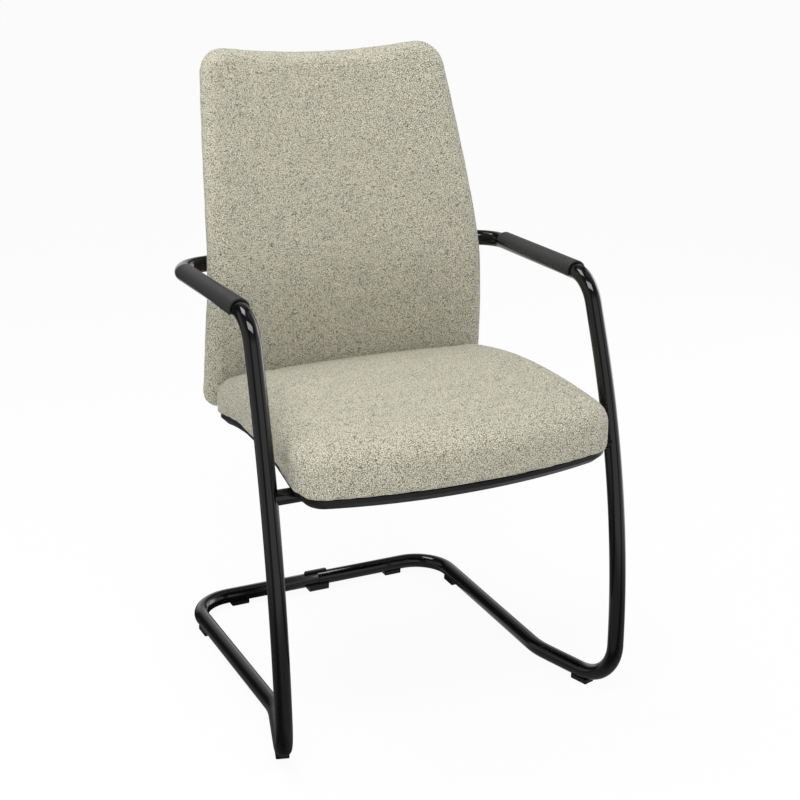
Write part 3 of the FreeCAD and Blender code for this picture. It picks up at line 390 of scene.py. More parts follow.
def smooth_step(share):
    """Three times the square of the share less twice its cube, with the share held between 0 and 1."""
    share = np.clip(share, 0.0, 1.0)
    return share * share * (3.0 - 2.0 * share)


# Frame tube

# Corners of the right half's middle line, from the base joint by way of the runner, the foot, the leg
# and the arm to the joint behind the back, and the radius of the bend at each corner but the ends. The
# halves end SEAM off the middle.
BASE_HEIGHT = 0.0175
ARM_HEIGHT = 0.648
SEAM = 0.0003
FRAME_CORNERS = np.array([
    (SEAM, 0.293, BASE_HEIGHT),
    (0.2355, 0.293, BASE_HEIGHT),
    (0.2285, -0.105, BASE_HEIGHT),
    (0.273, -0.263, BASE_HEIGHT),
    (0.276, -0.2605, (BASE_HEIGHT + ARM_HEIGHT) / 2),
    (0.267, -0.156, ARM_HEIGHT),
    (0.274, 0.157, ARM_HEIGHT),
    (0.150, 0.184, ARM_HEIGHT),
    (SEAM, 0.184, ARM_HEIGHT),
])
FRAME_BENDS = (0.065, 0.125, 0.068, 1.5, 0.056, 0.050, 0.750)
ARC_STEP = math.radians(3.0)
ARC_FEWEST = 6
WIDE_BEND = 0.3
TUBE_AROUND = 48
TUBE_EDGE = 0.0004


def bent_path(corners, bends):
    """Points along straight runs joined by tangent arcs.

    At a corner with unit directions a in and b out and turn t, the arc of radius r starts r tan(t / 2)
    before it, and its centre lies r / cos(t / 2) away along the unit vector of b - a. A bend wider than
    WIDE_BEND has more points.
    """
    pieces = [corners[:1]]
    for corner, before, after, radius in zip(corners[1:-1], corners[:-2], corners[2:], bends):
        into = (corner - before) / np.linalg.norm(corner - before)
        out = (after - corner) / np.linalg.norm(after - corner)
        turn = math.acos(float(np.clip(into @ out, -1.0, 1.0)))
        inward = (out - into) / np.linalg.norm(out - into)
        centre = corner + inward * radius / math.cos(turn / 2)
        start = corner - into * radius * math.tan(turn / 2)
        count = max(ARC_FEWEST, int(turn / ARC_STEP * max(1.0, radius / WIDE_BEND)))
        angle = np.linspace(0.0, turn, count)[:, None]
        pieces.append(centre + (start - centre) * np.cos(angle) + into * radius * np.sin(angle))
    pieces.append(corners[-1:])
    return np.concatenate(pieces)


def path_directions(points):
    """Unit tangent at each point of a path: the unit steps before and after it, added and made unit."""
    step = np.diff(points, axis=0)
    step /= np.linalg.norm(step, axis=1)[:, None]
    tangent = np.concatenate([step[:1], step[:-1] + step[1:], step[-1:]])
    return tangent / np.linalg.norm(tangent, axis=1)[:, None]


def swept_tube(name, points, outer, inner, side, material):
    """Hollow round tube along a path: centre plus radius times (cos a, sin a) across the tangent.

    The ring's first axis is square to the tangent and to a slanting direction that the tube nowhere
    follows, and the second to the tangent and the first. The outer wall runs out along the path and the
    inner wall runs back, closed at both ends. The outer edge of each end is broken by TUBE_EDGE.
    """
    tangent = path_directions(points)
    slanting = np.array([side, 1.0, -1.0]) / math.sqrt(3.0)
    first = np.cross(tangent, slanting)
    first /= np.linalg.norm(first, axis=1)[:, None]
    second = np.cross(tangent, first)
    angle = np.linspace(0.0, 2 * math.pi, TUBE_AROUND, endpoint=False)
    ring = first[:, None] * np.cos(angle)[None, :, None] + second[:, None] * np.sin(angle)[None, :, None]
    start, end = points[:1], points[-1:]
    outside = np.concatenate([
        start[:, None] + ring[:1] * (outer - TUBE_EDGE),
        start[:, None] + tangent[:1, None] * TUBE_EDGE + ring[:1] * outer,
        points[1:-1, None] + ring[1:-1] * outer,
        end[:, None] - tangent[-1:, None] * TUBE_EDGE + ring[-1:] * outer,
        end[:, None] + ring[-1:] * (outer - TUBE_EDGE),
    ])
    inside = (points[:, None] + ring * inner)[::-1]
    rows = np.concatenate([outside, inside])
    faces = grid_faces(len(rows), TUBE_AROUND, True, True)
    return solid_object(name, rows, faces, material)


# Arm pads

# A skirt is how far the sleeve reaches below the tube's middle. The steps count the points along the
# sleeve, round each of its ends, across it, and round each lower edge.
PAD_OVERLAP = 0.002
PAD_REAR_GAP = 0.002
PAD_CLEARANCE = 0.0001
PAD_FRONT_SKIRT = 0.0045
PAD_REAR_SKIRT = -0.0050
PAD_EDGE = 0.0011
PAD_RUN_STEPS = 60
PAD_END_STEPS = 7
PAD_BOW_STEPS = 64
PAD_EDGE_STEPS = 12
UP = np.array([0.0, 0.0, 1.0])


def arm_run():
    """First and last point of the arm's straight run on the right side."""
    points = bent_path(FRAME_CORNERS, FRAME_BENDS)
    level = np.abs(points[:, 2] - ARM_HEIGHT) < SAME_PLACE
    arm = points[level]
    length = np.linalg.norm(np.diff(arm, axis=0), axis=1)
    longest = int(np.argmax(length))
    return arm[longest], arm[longest + 1]


def arm_pad(name, side, sizes, material):
    """Half sleeve over the arm tube.

    The section is a closed loop: the outer round from skirt to skirt, a small round at the lower edge,
    the inner round back, and the other edge. The skirt's depth grows evenly towards the front. At both
    ends the wall draws in along a quarter round, and a last loop closes it on its middle line.
    """
    mirror = np.array([side, 1.0, 1.0])
    first, last = (point * mirror for point in arm_run())
    length = np.linalg.norm(last - first)
    heading = (last - first) / length
    start = -PAD_OVERLAP
    finish = length - PAD_REAR_GAP
    across = np.array([-heading[1], heading[0], 0.0])
    inner = sizes.tube_diameter / 2 + PAD_CLEARANCE
    outer = sizes.tube_diameter / 2 + sizes.pad_wall
    turn = np.linspace(0.0, math.pi / 2, PAD_END_STEPS)
    ends = PAD_EDGE * (1.0 - np.cos(turn))
    between = np.linspace(start + PAD_EDGE, finish - PAD_EDGE, PAD_RUN_STEPS)[1:-1]
    run = np.concatenate([start + ends[1:], between, finish - ends[:0:-1]])
    near_end = np.minimum(run - start, finish - run)
    short_of_round = PAD_EDGE - np.minimum(near_end, PAD_EDGE)
    drawn = PAD_EDGE - np.sqrt(np.clip(PAD_EDGE ** 2 - short_of_round ** 2, 0, None))
    share = (run - start) / (finish - start)
    skirt = PAD_FRONT_SKIRT + (PAD_REAR_SKIRT - PAD_FRONT_SKIRT) * share - drawn
    middle = (inner + outer) / 2
    half = (outer - inner) / 2 - drawn
    reach = math.pi / 2 + np.arcsin(skirt / middle)
    bow = np.linspace(-1.0, 1.0, PAD_BOW_STEPS)
    edge = np.linspace(0.0, math.pi, PAD_EDGE_STEPS)[1:-1]
    outer_angle = reach[:, None] * bow[None]
    edge_angle = reach[:, None] + (half / middle)[:, None] * np.sin(edge)[None]
    edge_radius = middle + half[:, None] * np.cos(edge)[None]
    angle = np.concatenate([outer_angle, edge_angle, outer_angle[:, ::-1], -edge_angle], axis=1)
    outside = np.repeat((middle + half)[:, None], bow.size, 1)
    inside = np.repeat((middle - half)[:, None], bow.size, 1)
    radius = np.concatenate([outside, edge_radius, inside, edge_radius[:, ::-1]], axis=1)
    rows = (first + run[:, None, None] * heading
            + (radius * np.sin(angle))[:, :, None] * across
            + (radius * np.cos(angle))[:, :, None] * UP)
    closing = []
    for number in (0, -1):
        place = first + run[number] * heading
        line = ((middle * np.sin(angle[number]))[:, None] * across
                + (middle * np.cos(angle[number]))[:, None] * UP)
        closing.append((place + line)[None])
    rows = np.concatenate([closing[0], rows, closing[1]])
    faces = grid_faces(len(rows), rows.shape[1], False, True)
    return solid_object(name, rows, faces, material)


# Outlines of the seat and the back

FAR = 1000.0
SIDE_STEPS = 60
CORNER_STEPS = 14


def circle_through(first, middle, last):
    """Centre and radius of the circle through three points.

    The centre is where the lines that stand on the middles of two sides of their triangle meet.
    """
    (ax, ay), (bx, by), (cx, cy) = first, middle, last
    a_square, b_square, c_square = (x ** 2 + y ** 2 for x, y in (first, middle, last))
    divisor = 2 * (ax * (by - cy) + bx * (cy - ay) + cx * (ay - by))
    centre = np.array([
        (a_square * (by - cy) + b_square * (cy - ay) + c_square * (ay - by)) / divisor,
        (a_square * (cx - bx) + b_square * (ax - cx) + c_square * (bx - ax)) / divisor,
    ])
    return centre, float(np.linalg.norm(np.array(first) - centre))


def line_circle(first, last):
    """A straight side as a circle so wide that it is straight; the inside is on the left of the way."""
    first, last = np.array(first), np.array(last)
    way = (last - first) / np.linalg.norm(last - first)
    left = np.array([-way[1], way[0]])
    return (first + last) / 2 + left * FAR, FAR


def meeting(first, first_radius, second, second_radius, near):
    """The point, of the two where circles meet, that is nearer to a given one.

    With d between the centres and radii r and s, it lies (d d + r r - s s) / 2 d along the line of the
    centres, and aside from it by the other short side of the right triangle on r.
    """
    gap = second - first
    distance = np.linalg.norm(gap)
    along = (distance ** 2 + first_radius ** 2 - second_radius ** 2) / (2 * distance)
    aside = math.sqrt(max(first_radius ** 2 - along ** 2, 0.0))
    unit = gap / distance
    normal = np.array([-unit[1], unit[0]])
    options = [first + unit * along + normal * aside, first + unit * along - normal * aside]
    return min(options, key=lambda option: np.linalg.norm(option - near))


def outline(sides, corners, rounds, inset):
    """Closed outline of arcs with rounded corners, drawn in by inset.

    sides holds (centre, radius, sense) for each side, in order round the outline and anticlockwise;
    sense is 1 where the side bulges and -1 where it is hollow. Corner number n lies between side n and
    the next. Its round has its centre where the two sides meet when drawn in by the round's radius.
    """
    total = len(sides)
    centres = []
    for number in range(total):
        here, there = sides[number], sides[(number + 1) % total]
        radius = rounds[number]
        centres.append(meeting(here[0], here[1] - here[2] * radius, there[0], there[1] - there[2] * radius,
                               np.array(corners[number])))

    def touch(side, centre):
        """Where the round about a centre meets a side that is drawn in."""
        way = (centre - side[0]) / np.linalg.norm(centre - side[0])
        return side[0] + way * (side[1] - side[2] * inset)

    def sweep(middle, start, end, count):
        """Points from start to just before end along the circle round middle, the shorter way."""
        radius = np.linalg.norm(start - middle)
        low = math.atan2(*(start - middle)[::-1])
        high = math.atan2(*(end - middle)[::-1])
        turn = (high - low + math.pi) % (2 * math.pi) - math.pi
        steps = np.linspace(0.0, 1.0, count, endpoint=False)[:, None]
        angle = low + turn * steps
        return middle + radius * np.concatenate([np.cos(angle), np.sin(angle)], axis=1)

    points = []
    for number in range(total):
        side = sides[number]
        start = touch(side, centres[number - 1])
        end = touch(side, centres[number])
        following = touch(sides[(number + 1) % total], centres[number])
        points.append(sweep(side[0], start, end, SIDE_STEPS))
        points.append(sweep(centres[number], end, following, CORNER_STEPS))
    return np.concatenate(points)


# Seat

SEAT_FRONT, SEAT_REAR = -0.309, 0.144
SEAT_FRONT_HALF, SEAT_REAR_HALF = 0.2474, 0.236
SEAT_FRONT_BOW, SEAT_REAR_BOW = 0.031, 0.0215
SEAT_FRONT_CORNER, SEAT_REAR_CORNER = 0.045, 0.038
SEAT_MIDDLE = (SEAT_FRONT + SEAT_REAR) / 2

# The lower edge of the cover is level between two places and drops towards the rear and the front. The
# smooth step to the front runs to a share of UNDER_FRONT_SHARE.
UNDER_HEIGHT = 0.444
UNDER_REAR_START, UNDER_REAR_DROP = -0.060, 0.0288
UNDER_FRONT_START, UNDER_FRONT_DROP = -0.105, 0.029
UNDER_FRONT_SHARE = 0.95
# The top falls to both ends from one place, and across it is crowned on a reference half width.
TOP_HEIGHT = 0.500
TOP_START = -0.070
TOP_REAR_DROP, TOP_FRONT_DROP = 0.029, 0.023
TOP_CROWN, TOP_REFERENCE = 0.004, 0.272
SEAT_UNDER_ROUND = 0.003
UNDER_RINGS, UNDER_ROUND_RINGS = 14, 7
TOP_ROUND_RINGS, TOP_RINGS = 16, 44
UNDER_SMALLEST, TOP_SMALLEST = 0.04, 0.03


def seat_outline(inset):
    """Seen from above, anticlockwise: bowed front, right side, bowed rear, left side."""
    front = SEAT_FRONT + SEAT_FRONT_BOW
    rear = SEAT_REAR - SEAT_REAR_BOW
    corners = [(SEAT_FRONT_HALF, front), (SEAT_REAR_HALF, rear),
               (-SEAT_REAR_HALF, rear), (-SEAT_FRONT_HALF, front)]
    sides = [
        circle_through(corners[3], (0.0, SEAT_FRONT), corners[0]) + (1,),
        line_circle(corners[0], corners[1]) + (1,),
        circle_through(corners[1], (0.0, SEAT_REAR), corners[2]) + (1,),
        line_circle(corners[2], corners[3]) + (1,),
    ]
    rounds = (SEAT_FRONT_CORNER, SEAT_REAR_CORNER, SEAT_REAR_CORNER, SEAT_FRONT_CORNER)
    return outline(sides, corners, rounds, inset)


def seat_under(y):
    """Height of the cover's lower edge: falling as a square to the rear, by a smooth step to the front."""
    rear = np.clip((y - UNDER_REAR_START) / (SEAT_REAR - UNDER_REAR_START), 0.0, None)
    front = np.clip((UNDER_FRONT_START - y) / (UNDER_FRONT_START - SEAT_FRONT), 0.0, None)
    drop = UNDER_FRONT_DROP * smooth_step(UNDER_FRONT_SHARE * front)
    return UNDER_HEIGHT - UNDER_REAR_DROP * rear ** 2 - drop


def seat_top(x, y):
    """Height of the seat's top: falling as a square to the front and the rear, crowned across."""
    rear = np.clip((y - TOP_START) / (SEAT_REAR - TOP_START), 0.0, None)
    front = np.clip((TOP_START - y) / (TOP_START - SEAT_FRONT), 0.0, None)
    crown = TOP_CROWN * (1.0 - (x / TOP_REFERENCE) ** 2)
    return TOP_HEIGHT - TOP_REAR_DROP * rear ** 2 - TOP_FRONT_DROP * front ** 2 + crown


def seat_rings(draw_in, top_round, under_round):
    """Rings of the seat from the middle of its underside over the edge to the middle of its top.

    Inside the rounds, a ring is the outline scaled about the seat's middle; in the rounds it is the
    outline drawn in by r (1 - cos t), lifted or lowered by r (1 - sin t). Three rings share the side
    between the rounds evenly. All of it lies draw_in inside the finished form.
    """
    middle = np.array([0.0, SEAT_MIDDLE])
    rings = []
    flat = seat_outline(draw_in + under_round) - middle
    for share in np.linspace(UNDER_SMALLEST, 1.0, UNDER_RINGS)[:-1]:
        plan = middle + flat * share
        rings.append(np.column_stack([plan, seat_under(plan[:, 1]) + draw_in]))
    for turn in np.linspace(math.pi / 2, 0.0, UNDER_ROUND_RINGS):
        plan = seat_outline(draw_in + under_round * (1.0 - math.cos(turn)))
        rise = draw_in + under_round * (1.0 - math.sin(turn))
        rings.append(np.column_stack([plan, seat_under(plan[:, 1]) + rise]))
    side = len(rings) - 1
    for turn in np.linspace(0.0, math.pi / 2, TOP_ROUND_RINGS):
        plan = seat_outline(draw_in + top_round * (1.0 - math.cos(turn)))
        drop = draw_in + top_round * (1.0 - math.sin(turn))
        rings.append(np.column_stack([plan, seat_top(plan[:, 0], plan[:, 1]) - drop]))
    flat = seat_outline(draw_in + top_round) - middle
    for share in np.linspace(1.0, TOP_SMALLEST, TOP_RINGS)[1:]:
        plan = middle + flat * share
        rings.append(np.column_stack([plan, seat_top(plan[:, 0], plan[:, 1]) - draw_in]))
    between = [rings[side] + (rings[side + 1] - rings[side]) * share for share in (0.25, 0.5, 0.75)]
    return np.array(rings[:side + 1] + between + rings[side + 1:])


# Back

BACK_BOTTOM, BACK_TOP = 0.420, 0.9725
BACK_BOTTOM_HALF, BACK_TOP_HALF = 0.2435, 0.2005
BACK_BOTTOM_CORNER, BACK_TOP_CORNER = 0.028, 0.040
BACK_DIP, BACK_BOW = 0.0175, 0.007
BACK_MIDDLE = (BACK_BOTTOM + BACK_TOP) / 2

# The side edge is foremost at the lumbar and leans to the rear above and below it, by slopes that set in
# over LUMBAR_SPREAD. Across, both faces curve by a square on a reference half width.
LUMBAR_HEIGHT, LUMBAR_LINE, LUMBAR_SPREAD = 0.625, 0.129, 0.058
LEAN_ABOVE, LEAN_BELOW = 0.31, 0.14
FRONT_REACH, FRONT_HOLLOW = 0.020, 0.022
REAR_REACH, REAR_BULGE = 0.014, 0.024
BACK_REFERENCE = 0.2355
REAR_RINGS, REAR_ROUND_RINGS = 40, 10
FRONT_ROUND_RINGS, FRONT_RINGS = 14, 60
BACK_SMALLEST = 0.03


def back_outline(inset):
    """Seen from the front, anticlockwise: level bottom, bowed right side, dipped top, bowed left side."""
    middle_half = (BACK_BOTTOM_HALF + BACK_TOP_HALF) / 2 + BACK_BOW
    corners = [(BACK_BOTTOM_HALF, BACK_BOTTOM), (BACK_TOP_HALF, BACK_TOP),
               (-BACK_TOP_HALF, BACK_TOP), (-BACK_BOTTOM_HALF, BACK_BOTTOM)]
    sides = [
        line_circle(corners[3], corners[0]) + (1,),
        circle_through(corners[0], (middle_half, BACK_MIDDLE), corners[1]) + (1,),
        circle_through(corners[1], (0.0, BACK_TOP - BACK_DIP), corners[2]) + (-1,),
        circle_through(corners[2], (-middle_half, BACK_MIDDLE), corners[3]) + (1,),
    ]
    rounds = (BACK_BOTTOM_CORNER, BACK_TOP_CORNER, BACK_TOP_CORNER, BACK_BOTTOM_CORNER)
    return outline(sides, corners, rounds, inset)


def back_line(z):
    """Y of the back's side edge: a hyperbola on the rise from the lumbar, with a slope for each side."""
    rise = z - LUMBAR_HEIGHT
    slope = np.where(rise > 0, LEAN_ABOVE, LEAN_BELOW)
    return LUMBAR_LINE + slope * (np.hypot(rise, LUMBAR_SPREAD) - LUMBAR_SPREAD)


def back_front(x, z):
    """Y of the front face: before the side edge, and hollow across as a square."""
    return back_line(z) - FRONT_REACH + FRONT_HOLLOW * (1.0 - (x / BACK_REFERENCE) ** 2)


def back_rear(x, z):
    """Y of the rear face: behind the side edge, and bulging across as a square."""
    return back_line(z) + REAR_REACH + REAR_BULGE * (1.0 - (x / BACK_REFERENCE) ** 2)


def back_rings(draw_in, front_round, rear_round):
    """Rings of the back from the middle of its rear over the rim to the middle of its front.

    They are made as the seat's rings are, with the outline seen from the front and the depths along Y,
    but no rings share the side.
    """
    middle = np.array([0.0, BACK_MIDDLE])

    def ring(plan, face, depth):
        """Ring over a plan in X and Z, with its Y from a face and a depth."""
        return np.column_stack([plan[:, 0], face(plan[:, 0], plan[:, 1]) + depth, plan[:, 1]])

    rings = []
    flat = back_outline(draw_in + rear_round) - middle
    for share in np.linspace(BACK_SMALLEST, 1.0, REAR_RINGS)[:-1]:
        rings.append(ring(middle + flat * share, back_rear, -draw_in))
    for turn in np.linspace(math.pi / 2, 0.0, REAR_ROUND_RINGS):
        plan = back_outline(draw_in + rear_round * (1.0 - math.cos(turn)))
        rings.append(ring(plan, back_rear, -draw_in - rear_round * (1.0 - math.sin(turn))))
    for turn in np.linspace(0.0, math.pi / 2, FRONT_ROUND_RINGS):
        plan = back_outline(draw_in + front_round * (1.0 - math.cos(turn)))
        rings.append(ring(plan, back_front, draw_in + front_round * (1.0 - math.sin(turn))))
    flat = back_outline(draw_in + front_round) - middle
    for share in np.linspace(1.0, BACK_SMALLEST, FRONT_RINGS)[1:]:
        rings.append(ring(middle + flat * share, back_front, draw_in))
    return np.array(rings)


# Padding

# The cushions keep their outlines closely, so they start only a little small and move only a little.
# Points up to SEAT_HELD over the seat's lower edge, and up to BACK_HELD over the back's, are held.
SWELL_FRAMES = 20
SWELL_PRESSURE = 4.0
START_SMALLER = 0.0001
SWELL_CAP = 0.0022
SINK_CAP = 0.0002
SEAT_VOXEL, SEAT_HELD = 0.0050, 0.006
BACK_VOXEL, BACK_HELD = 0.0055, 0.004


def point_array(mesh):
    """Places of a mesh's points, one row each."""
    points = np.empty(len(mesh.vertices) * 3)
    mesh.vertices.foreach_get("co", points)
    return points.reshape(-1, 3)


def bake_modifiers(item):
    """Makes the result of the modifiers the piece's own mesh."""
    bpy.context.view_layer.update()
    result = bpy.data.meshes.new_from_object(item.evaluated_get(bpy.context.evaluated_depsgraph_get()))
    item.modifiers.clear()
    item.data = result


def smooth_points(item, name):
    """Two passes of smoothing, each halfway to the middle of a point's neighbours."""
    smooth = item.modifiers.new(name, "SMOOTH")
    smooth.factor, smooth.iterations = 0.5, 2


def swell(item, voxel, held):
    """Cloth under air pressure over an even, smoothed mesh of the cushion, gravity off.

    The pressure doesn't move the points for which held gives True. The others keep the part of their
    way that runs along the outward normal, between SINK_CAP inwards and SWELL_CAP outwards. Smoothing
    and one subdivision follow.
    """
    even = item.modifiers.new("even", "REMESH")
    even.mode = "VOXEL"
    even.voxel_size = voxel
    even.use_smooth_shade = True
    smooth_points(item, "soften")
    bake_modifiers(item)
    start = point_array(item.data)
    normals = np.empty(start.size)
    item.data.vertex_normals.foreach_get("vector", normals)
    normals = normals.reshape(-1, 3)
    group = item.vertex_groups.new(name="held")
    group.add(np.flatnonzero(held(start)).tolist(), 1.0, "REPLACE")
    cloth = item.modifiers.new("swell", "CLOTH")
    cloth.settings.use_pressure = True
    cloth.settings.uniform_pressure_force = SWELL_PRESSURE
    cloth.settings.effector_weights.gravity = 0.0
    cloth.settings.vertex_group_mass = group.name
    cloth.collision_settings.use_collision = False
    cloth.point_cache.frame_start, cloth.point_cache.frame_end = 1, SWELL_FRAMES
    scene = bpy.context.scene
    for number in range(1, SWELL_FRAMES + 1):
        scene.frame_set(number)
    bake_modifiers(item)
    scene.frame_set(1)
    item.vertex_groups.clear()
    outward = np.sum((point_array(item.data) - start) * normals, axis=1)
    capped = start + normals * np.clip(outward, -SINK_CAP, SWELL_CAP)[:, None]
    item.data.vertices.foreach_set("co", capped.ravel())
    smooth_points(item, "ease")
    finer = item.modifiers.new("finer", "SUBSURF")
    finer.levels = finer.render_levels = 1
    bake_modifiers(item)
    shade_smooth(item.data)


# Operators

def sizes_and_colours(context):
    """The scene's two property groups."""
    return context.scene.chair_sizes, context.scene.chair_colours


class CHAIR_OT_frame(bpy.types.Operator):
    """Build both halves of the bent frame tube"""

    bl_idname = "chair.frame"
    bl_label = "Frame tubes"

    def execute(self, context):
        sizes, colours = sizes_and_colours(context)
        material = coating_material(colours)
        outer = sizes.tube_diameter / 2
        for name, side in (("left", -1.0), ("right", 1.0)):
            corners = FRAME_CORNERS * np.array([side, 1.0, 1.0])
            tube = swept_tube("tube_" + name, bent_path(corners, FRAME_BENDS), outer,
                              outer - sizes.tube_wall, side, material)
            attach(tube, BODY)
            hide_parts("frame_tube_" + name)
        return {"FINISHED"}


class CHAIR_OT_pads(bpy.types.Operator):
    """Build the arm pads"""

    bl_idname = "chair.pads"
    bl_label = "Arm pads"

    def execute(self, context):
        sizes, colours = sizes_and_colours(context)
        material = moulded_material("pad_moulding", colours.pad, rough=0.56, grain=1300.0, depth=0.00012)
        for name, side in (("left", -1.0), ("right", 1.0)):
            pad = arm_pad("pad_" + name, side, sizes, material)
            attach(pad, BODY)
            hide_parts("arm_pad_" + name)
        return {"FINISHED"}


class CHAIR_OT_seat(bpy.types.Operator):
    """Build the padded seat"""

    bl_idname = "chair.seat"
    bl_label = "Seat cushion"

    def execute(self, context):
        sizes, colours = sizes_and_colours(context)
        material = cloth_material("seat_cloth", sizes, colours, "X", "Y")
        draw_in = START_SMALLER
        rings = seat_rings(draw_in, sizes.seat_round - draw_in, SEAT_UNDER_ROUND)
        seat = closed_rings("seat_cushion", rings, material)
        swell(seat, SEAT_VOXEL, lambda points: points[:, 2] < seat_under(points[:, 1]) + SEAT_HELD)
        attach(seat, BODY)
        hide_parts("seat_fabric", "seat_foam")
        return {"FINISHED"}


class CHAIR_OT_back(bpy.types.Operator):
    """Build the padded back"""

    bl_idname = "chair.back"
    bl_label = "Back cushion"

    def execute(self, context):
        sizes, colours = sizes_and_colours(context)
        material = cloth_material("back_cloth", sizes, colours, "X", "Z")
        draw_in = START_SMALLER
        rings = back_rings(draw_in, sizes.back_front_round - draw_in, sizes.back_rear_round - draw_in)
        back = closed_rings("back_cushion", rings, material)
        swell(back, BACK_VOXEL, lambda points: points[:, 2] < BACK_BOTTOM + BACK_HELD)
        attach(back, BODY)
        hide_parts("back_fabric", "back_foam")
        return {"FINISHED"}


NODE_FINISHES = {
    "coating": ("crossbar", "crossbar_saddle_left", "crossbar_saddle_right", "back_plate_left",
                "back_plate_right", "seat_back_link_left", "seat_back_link_right"),
    "moulding": ("seat_pan", "base_joint_clip", "glide_front_left", "glide_front_right",
                 "glide_side_left", "glide_side_right", "glide_rear_left", "glide_rear_right"),
    "zinc": ("base_joint_sleeve", "loop_joint_sleeve", "seat_bolts", "link_bolts", "back_bolts",
             "seat_tee_nuts", "back_tee_nuts", "pan_screws"),
    "board": ("seat_board", "back_board"),
    "foam": ("seat_foam", "back_foam"),
}


class CHAIR_OT_fittings(bpy.types.Operator):
    """Give the frame's own solids their finishes"""

    bl_idname = "chair.fittings"
    bl_label = "Fittings"

    def execute(self, context):
        _, colours = sizes_and_colours(context)
        finishes = {
            "coating": coating_material(colours),
            "moulding": moulded_material("black_moulding", colours.moulding,
                                         rough=0.42, grain=900.0, depth=0.0001),
            "zinc": zinc_material(colours),
            "board": board_material(colours),
            "foam": foam_material(colours),
        }
        for finish, names in NODE_FINISHES.items():
            for name in names:
                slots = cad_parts[name].data.materials
                slots.clear()
                slots.append(finishes[finish])
        return {"FINISHED"}


# Stage. Azimuths count in degrees from the front (-Y) towards the right half (+X).

CAMERA_PLACE = Vector((-0.8944, -1.9627, 1.1600))
CAMERA_AZIMUTH = -25.2
CAMERA_ELEVATION = 18.33
CAMERA_LENS = 66.055
CAMERA_SENSOR = 36.0
CAMERA_REACH = 200.0
CHAIR_MIDDLE = Vector((0.0, 0.0, 0.55))

# Soft boxes and fills: azimuth, elevation, width, height, radiance. Gloss doesn't see the fills.
SOFT_BOXES = (
    ("front_box", -25.0, 60.0, 2.2, 0.90, 7.0),
    ("rear_box", -138.0, 66.0, 1.1, 1.05, 7.0),
    ("side_box", 100.0, 8.0, 1.3, 1.5, 2.2),
)
FILLS = (
    ("front_fill", -20.0, 18.0, 2.4, 1.4, 1.15),
    ("left_fill", -100.0, 8.0, 2.0, 1.6, 0.75),
)
BOX_DISTANCE = 2.7
AMBIENT = 0.46
FLOOR_REACH = 60.0
FLOOR_WHITE = 0.94

# What gloss sees round the studio: place on the turn from the rear, by way of the left half (-X), the
# front and the right half, to the rear again, and brightness divided by GLOSS_PEAK.
GLOSS_PEAK = 2.0
GLOSS_ROUND = (
    (0.000, 0.60), (0.045, 0.12), (0.070, 0.02), (0.110, 0.02), (0.135, 0.28), (0.310, 0.28),
    (0.340, 0.07), (0.375, 0.07), (0.410, 0.40), (0.555, 0.40), (0.575, 0.06), (0.595, 0.06),
    (0.620, 0.38), (0.690, 0.40), (0.720, 0.85), (0.810, 0.95), (0.850, 0.90), (0.862, 0.08),
    (0.885, 0.08), (0.905, 0.50), (1.000, 0.60),
)


def direction(azimuth, elevation):
    """Unit vector away from the chair at an azimuth and an elevation, in degrees."""
    azimuth, elevation = math.radians(azimuth), math.radians(elevation)
    return Vector((math.sin(azimuth) * math.cos(elevation), -math.cos(azimuth) * math.cos(elevation),
                   math.sin(elevation)))


def soft_box(name, azimuth, elevation, width, height, radiance):
    """Rectangular soft box that faces the chair; its power is radiance times area times pi."""
    data = bpy.data.lights.new(name, "AREA")
    data.shape = "RECTANGLE"
    data.size, data.size_y = width, height
    data.energy = radiance * width * height * math.pi
    item = bpy.data.objects.new(name, data)
    away = direction(azimuth, elevation)
    item.location = CHAIR_MIDDLE + away * BOX_DISTANCE
    item.rotation_euler = (-away).to_track_quat("-Z", "Y").to_euler()
    bpy.context.scene.collection.objects.link(item)
    return item


def gloss_round(shader, place):
    """Brightness that gloss sees in the direction of a point, by its azimuth about the chair.

    The turn is the angle of X against -Y as a share of the full circle, plus a half.
    """
    axes = shader.node("ShaderNodeSeparateXYZ", None, {"Vector": place})
    turn = axes.maths("ARCTAN2", axes.other("Y") * -1.0) / (2 * math.pi) + 0.5
    return shader.node("ShaderNodeValToRGB", {"stops": GLOSS_ROUND}, {"Fac": turn}) * GLOSS_PEAK


def ray_kinds(shader):
    """Two values: 1 on the camera's rays, and 1 on rays that gloss or glass sends out."""
    path = shader.node("ShaderNodeLightPath")
    mirrored = path.other("Is Glossy Ray").maths("MAXIMUM", path.other("Is Transmission Ray"))
    return path.other("Is Camera Ray"), mirrored


def floor_material(colours):
    """Pale floor: nearly white to the camera with a faint shadow, and to gloss a painted reflection, darker
    near the chair.
    """
    shader = Shader("floor_paint")
    plain = shader.node("ShaderNodeBsdfDiffuse", None, {"Color": opaque(colours.floor)})
    place = shader.place()
    reach = shader.node("ShaderNodeVectorMath", {"operation": "LENGTH"}, {0: place}, "Value")
    # Gloss rays see the floor glow with a painted reflection that changes with azimuth and darkens near the
    # chair, as if studio lamps lit it.
    gloss = gloss_round(shader, place) * reach.ramp(0.7, 1.6, 0.35, 1.0)
    camera, mirrored = ray_kinds(shader)
    brightness = mirrored * (gloss - 1.0) + 1.0
    glow = shader.node("ShaderNodeEmission", None, {"Color": brightness})
    share = (camera * FLOOR_WHITE).maths("MAXIMUM", mirrored)
    mixed = shader.node("ShaderNodeMixShader", None, {0: share, 1: plain, 2: glow})
    shader.node("ShaderNodeOutputMaterial", None, {"Surface": mixed})
    return shader.material


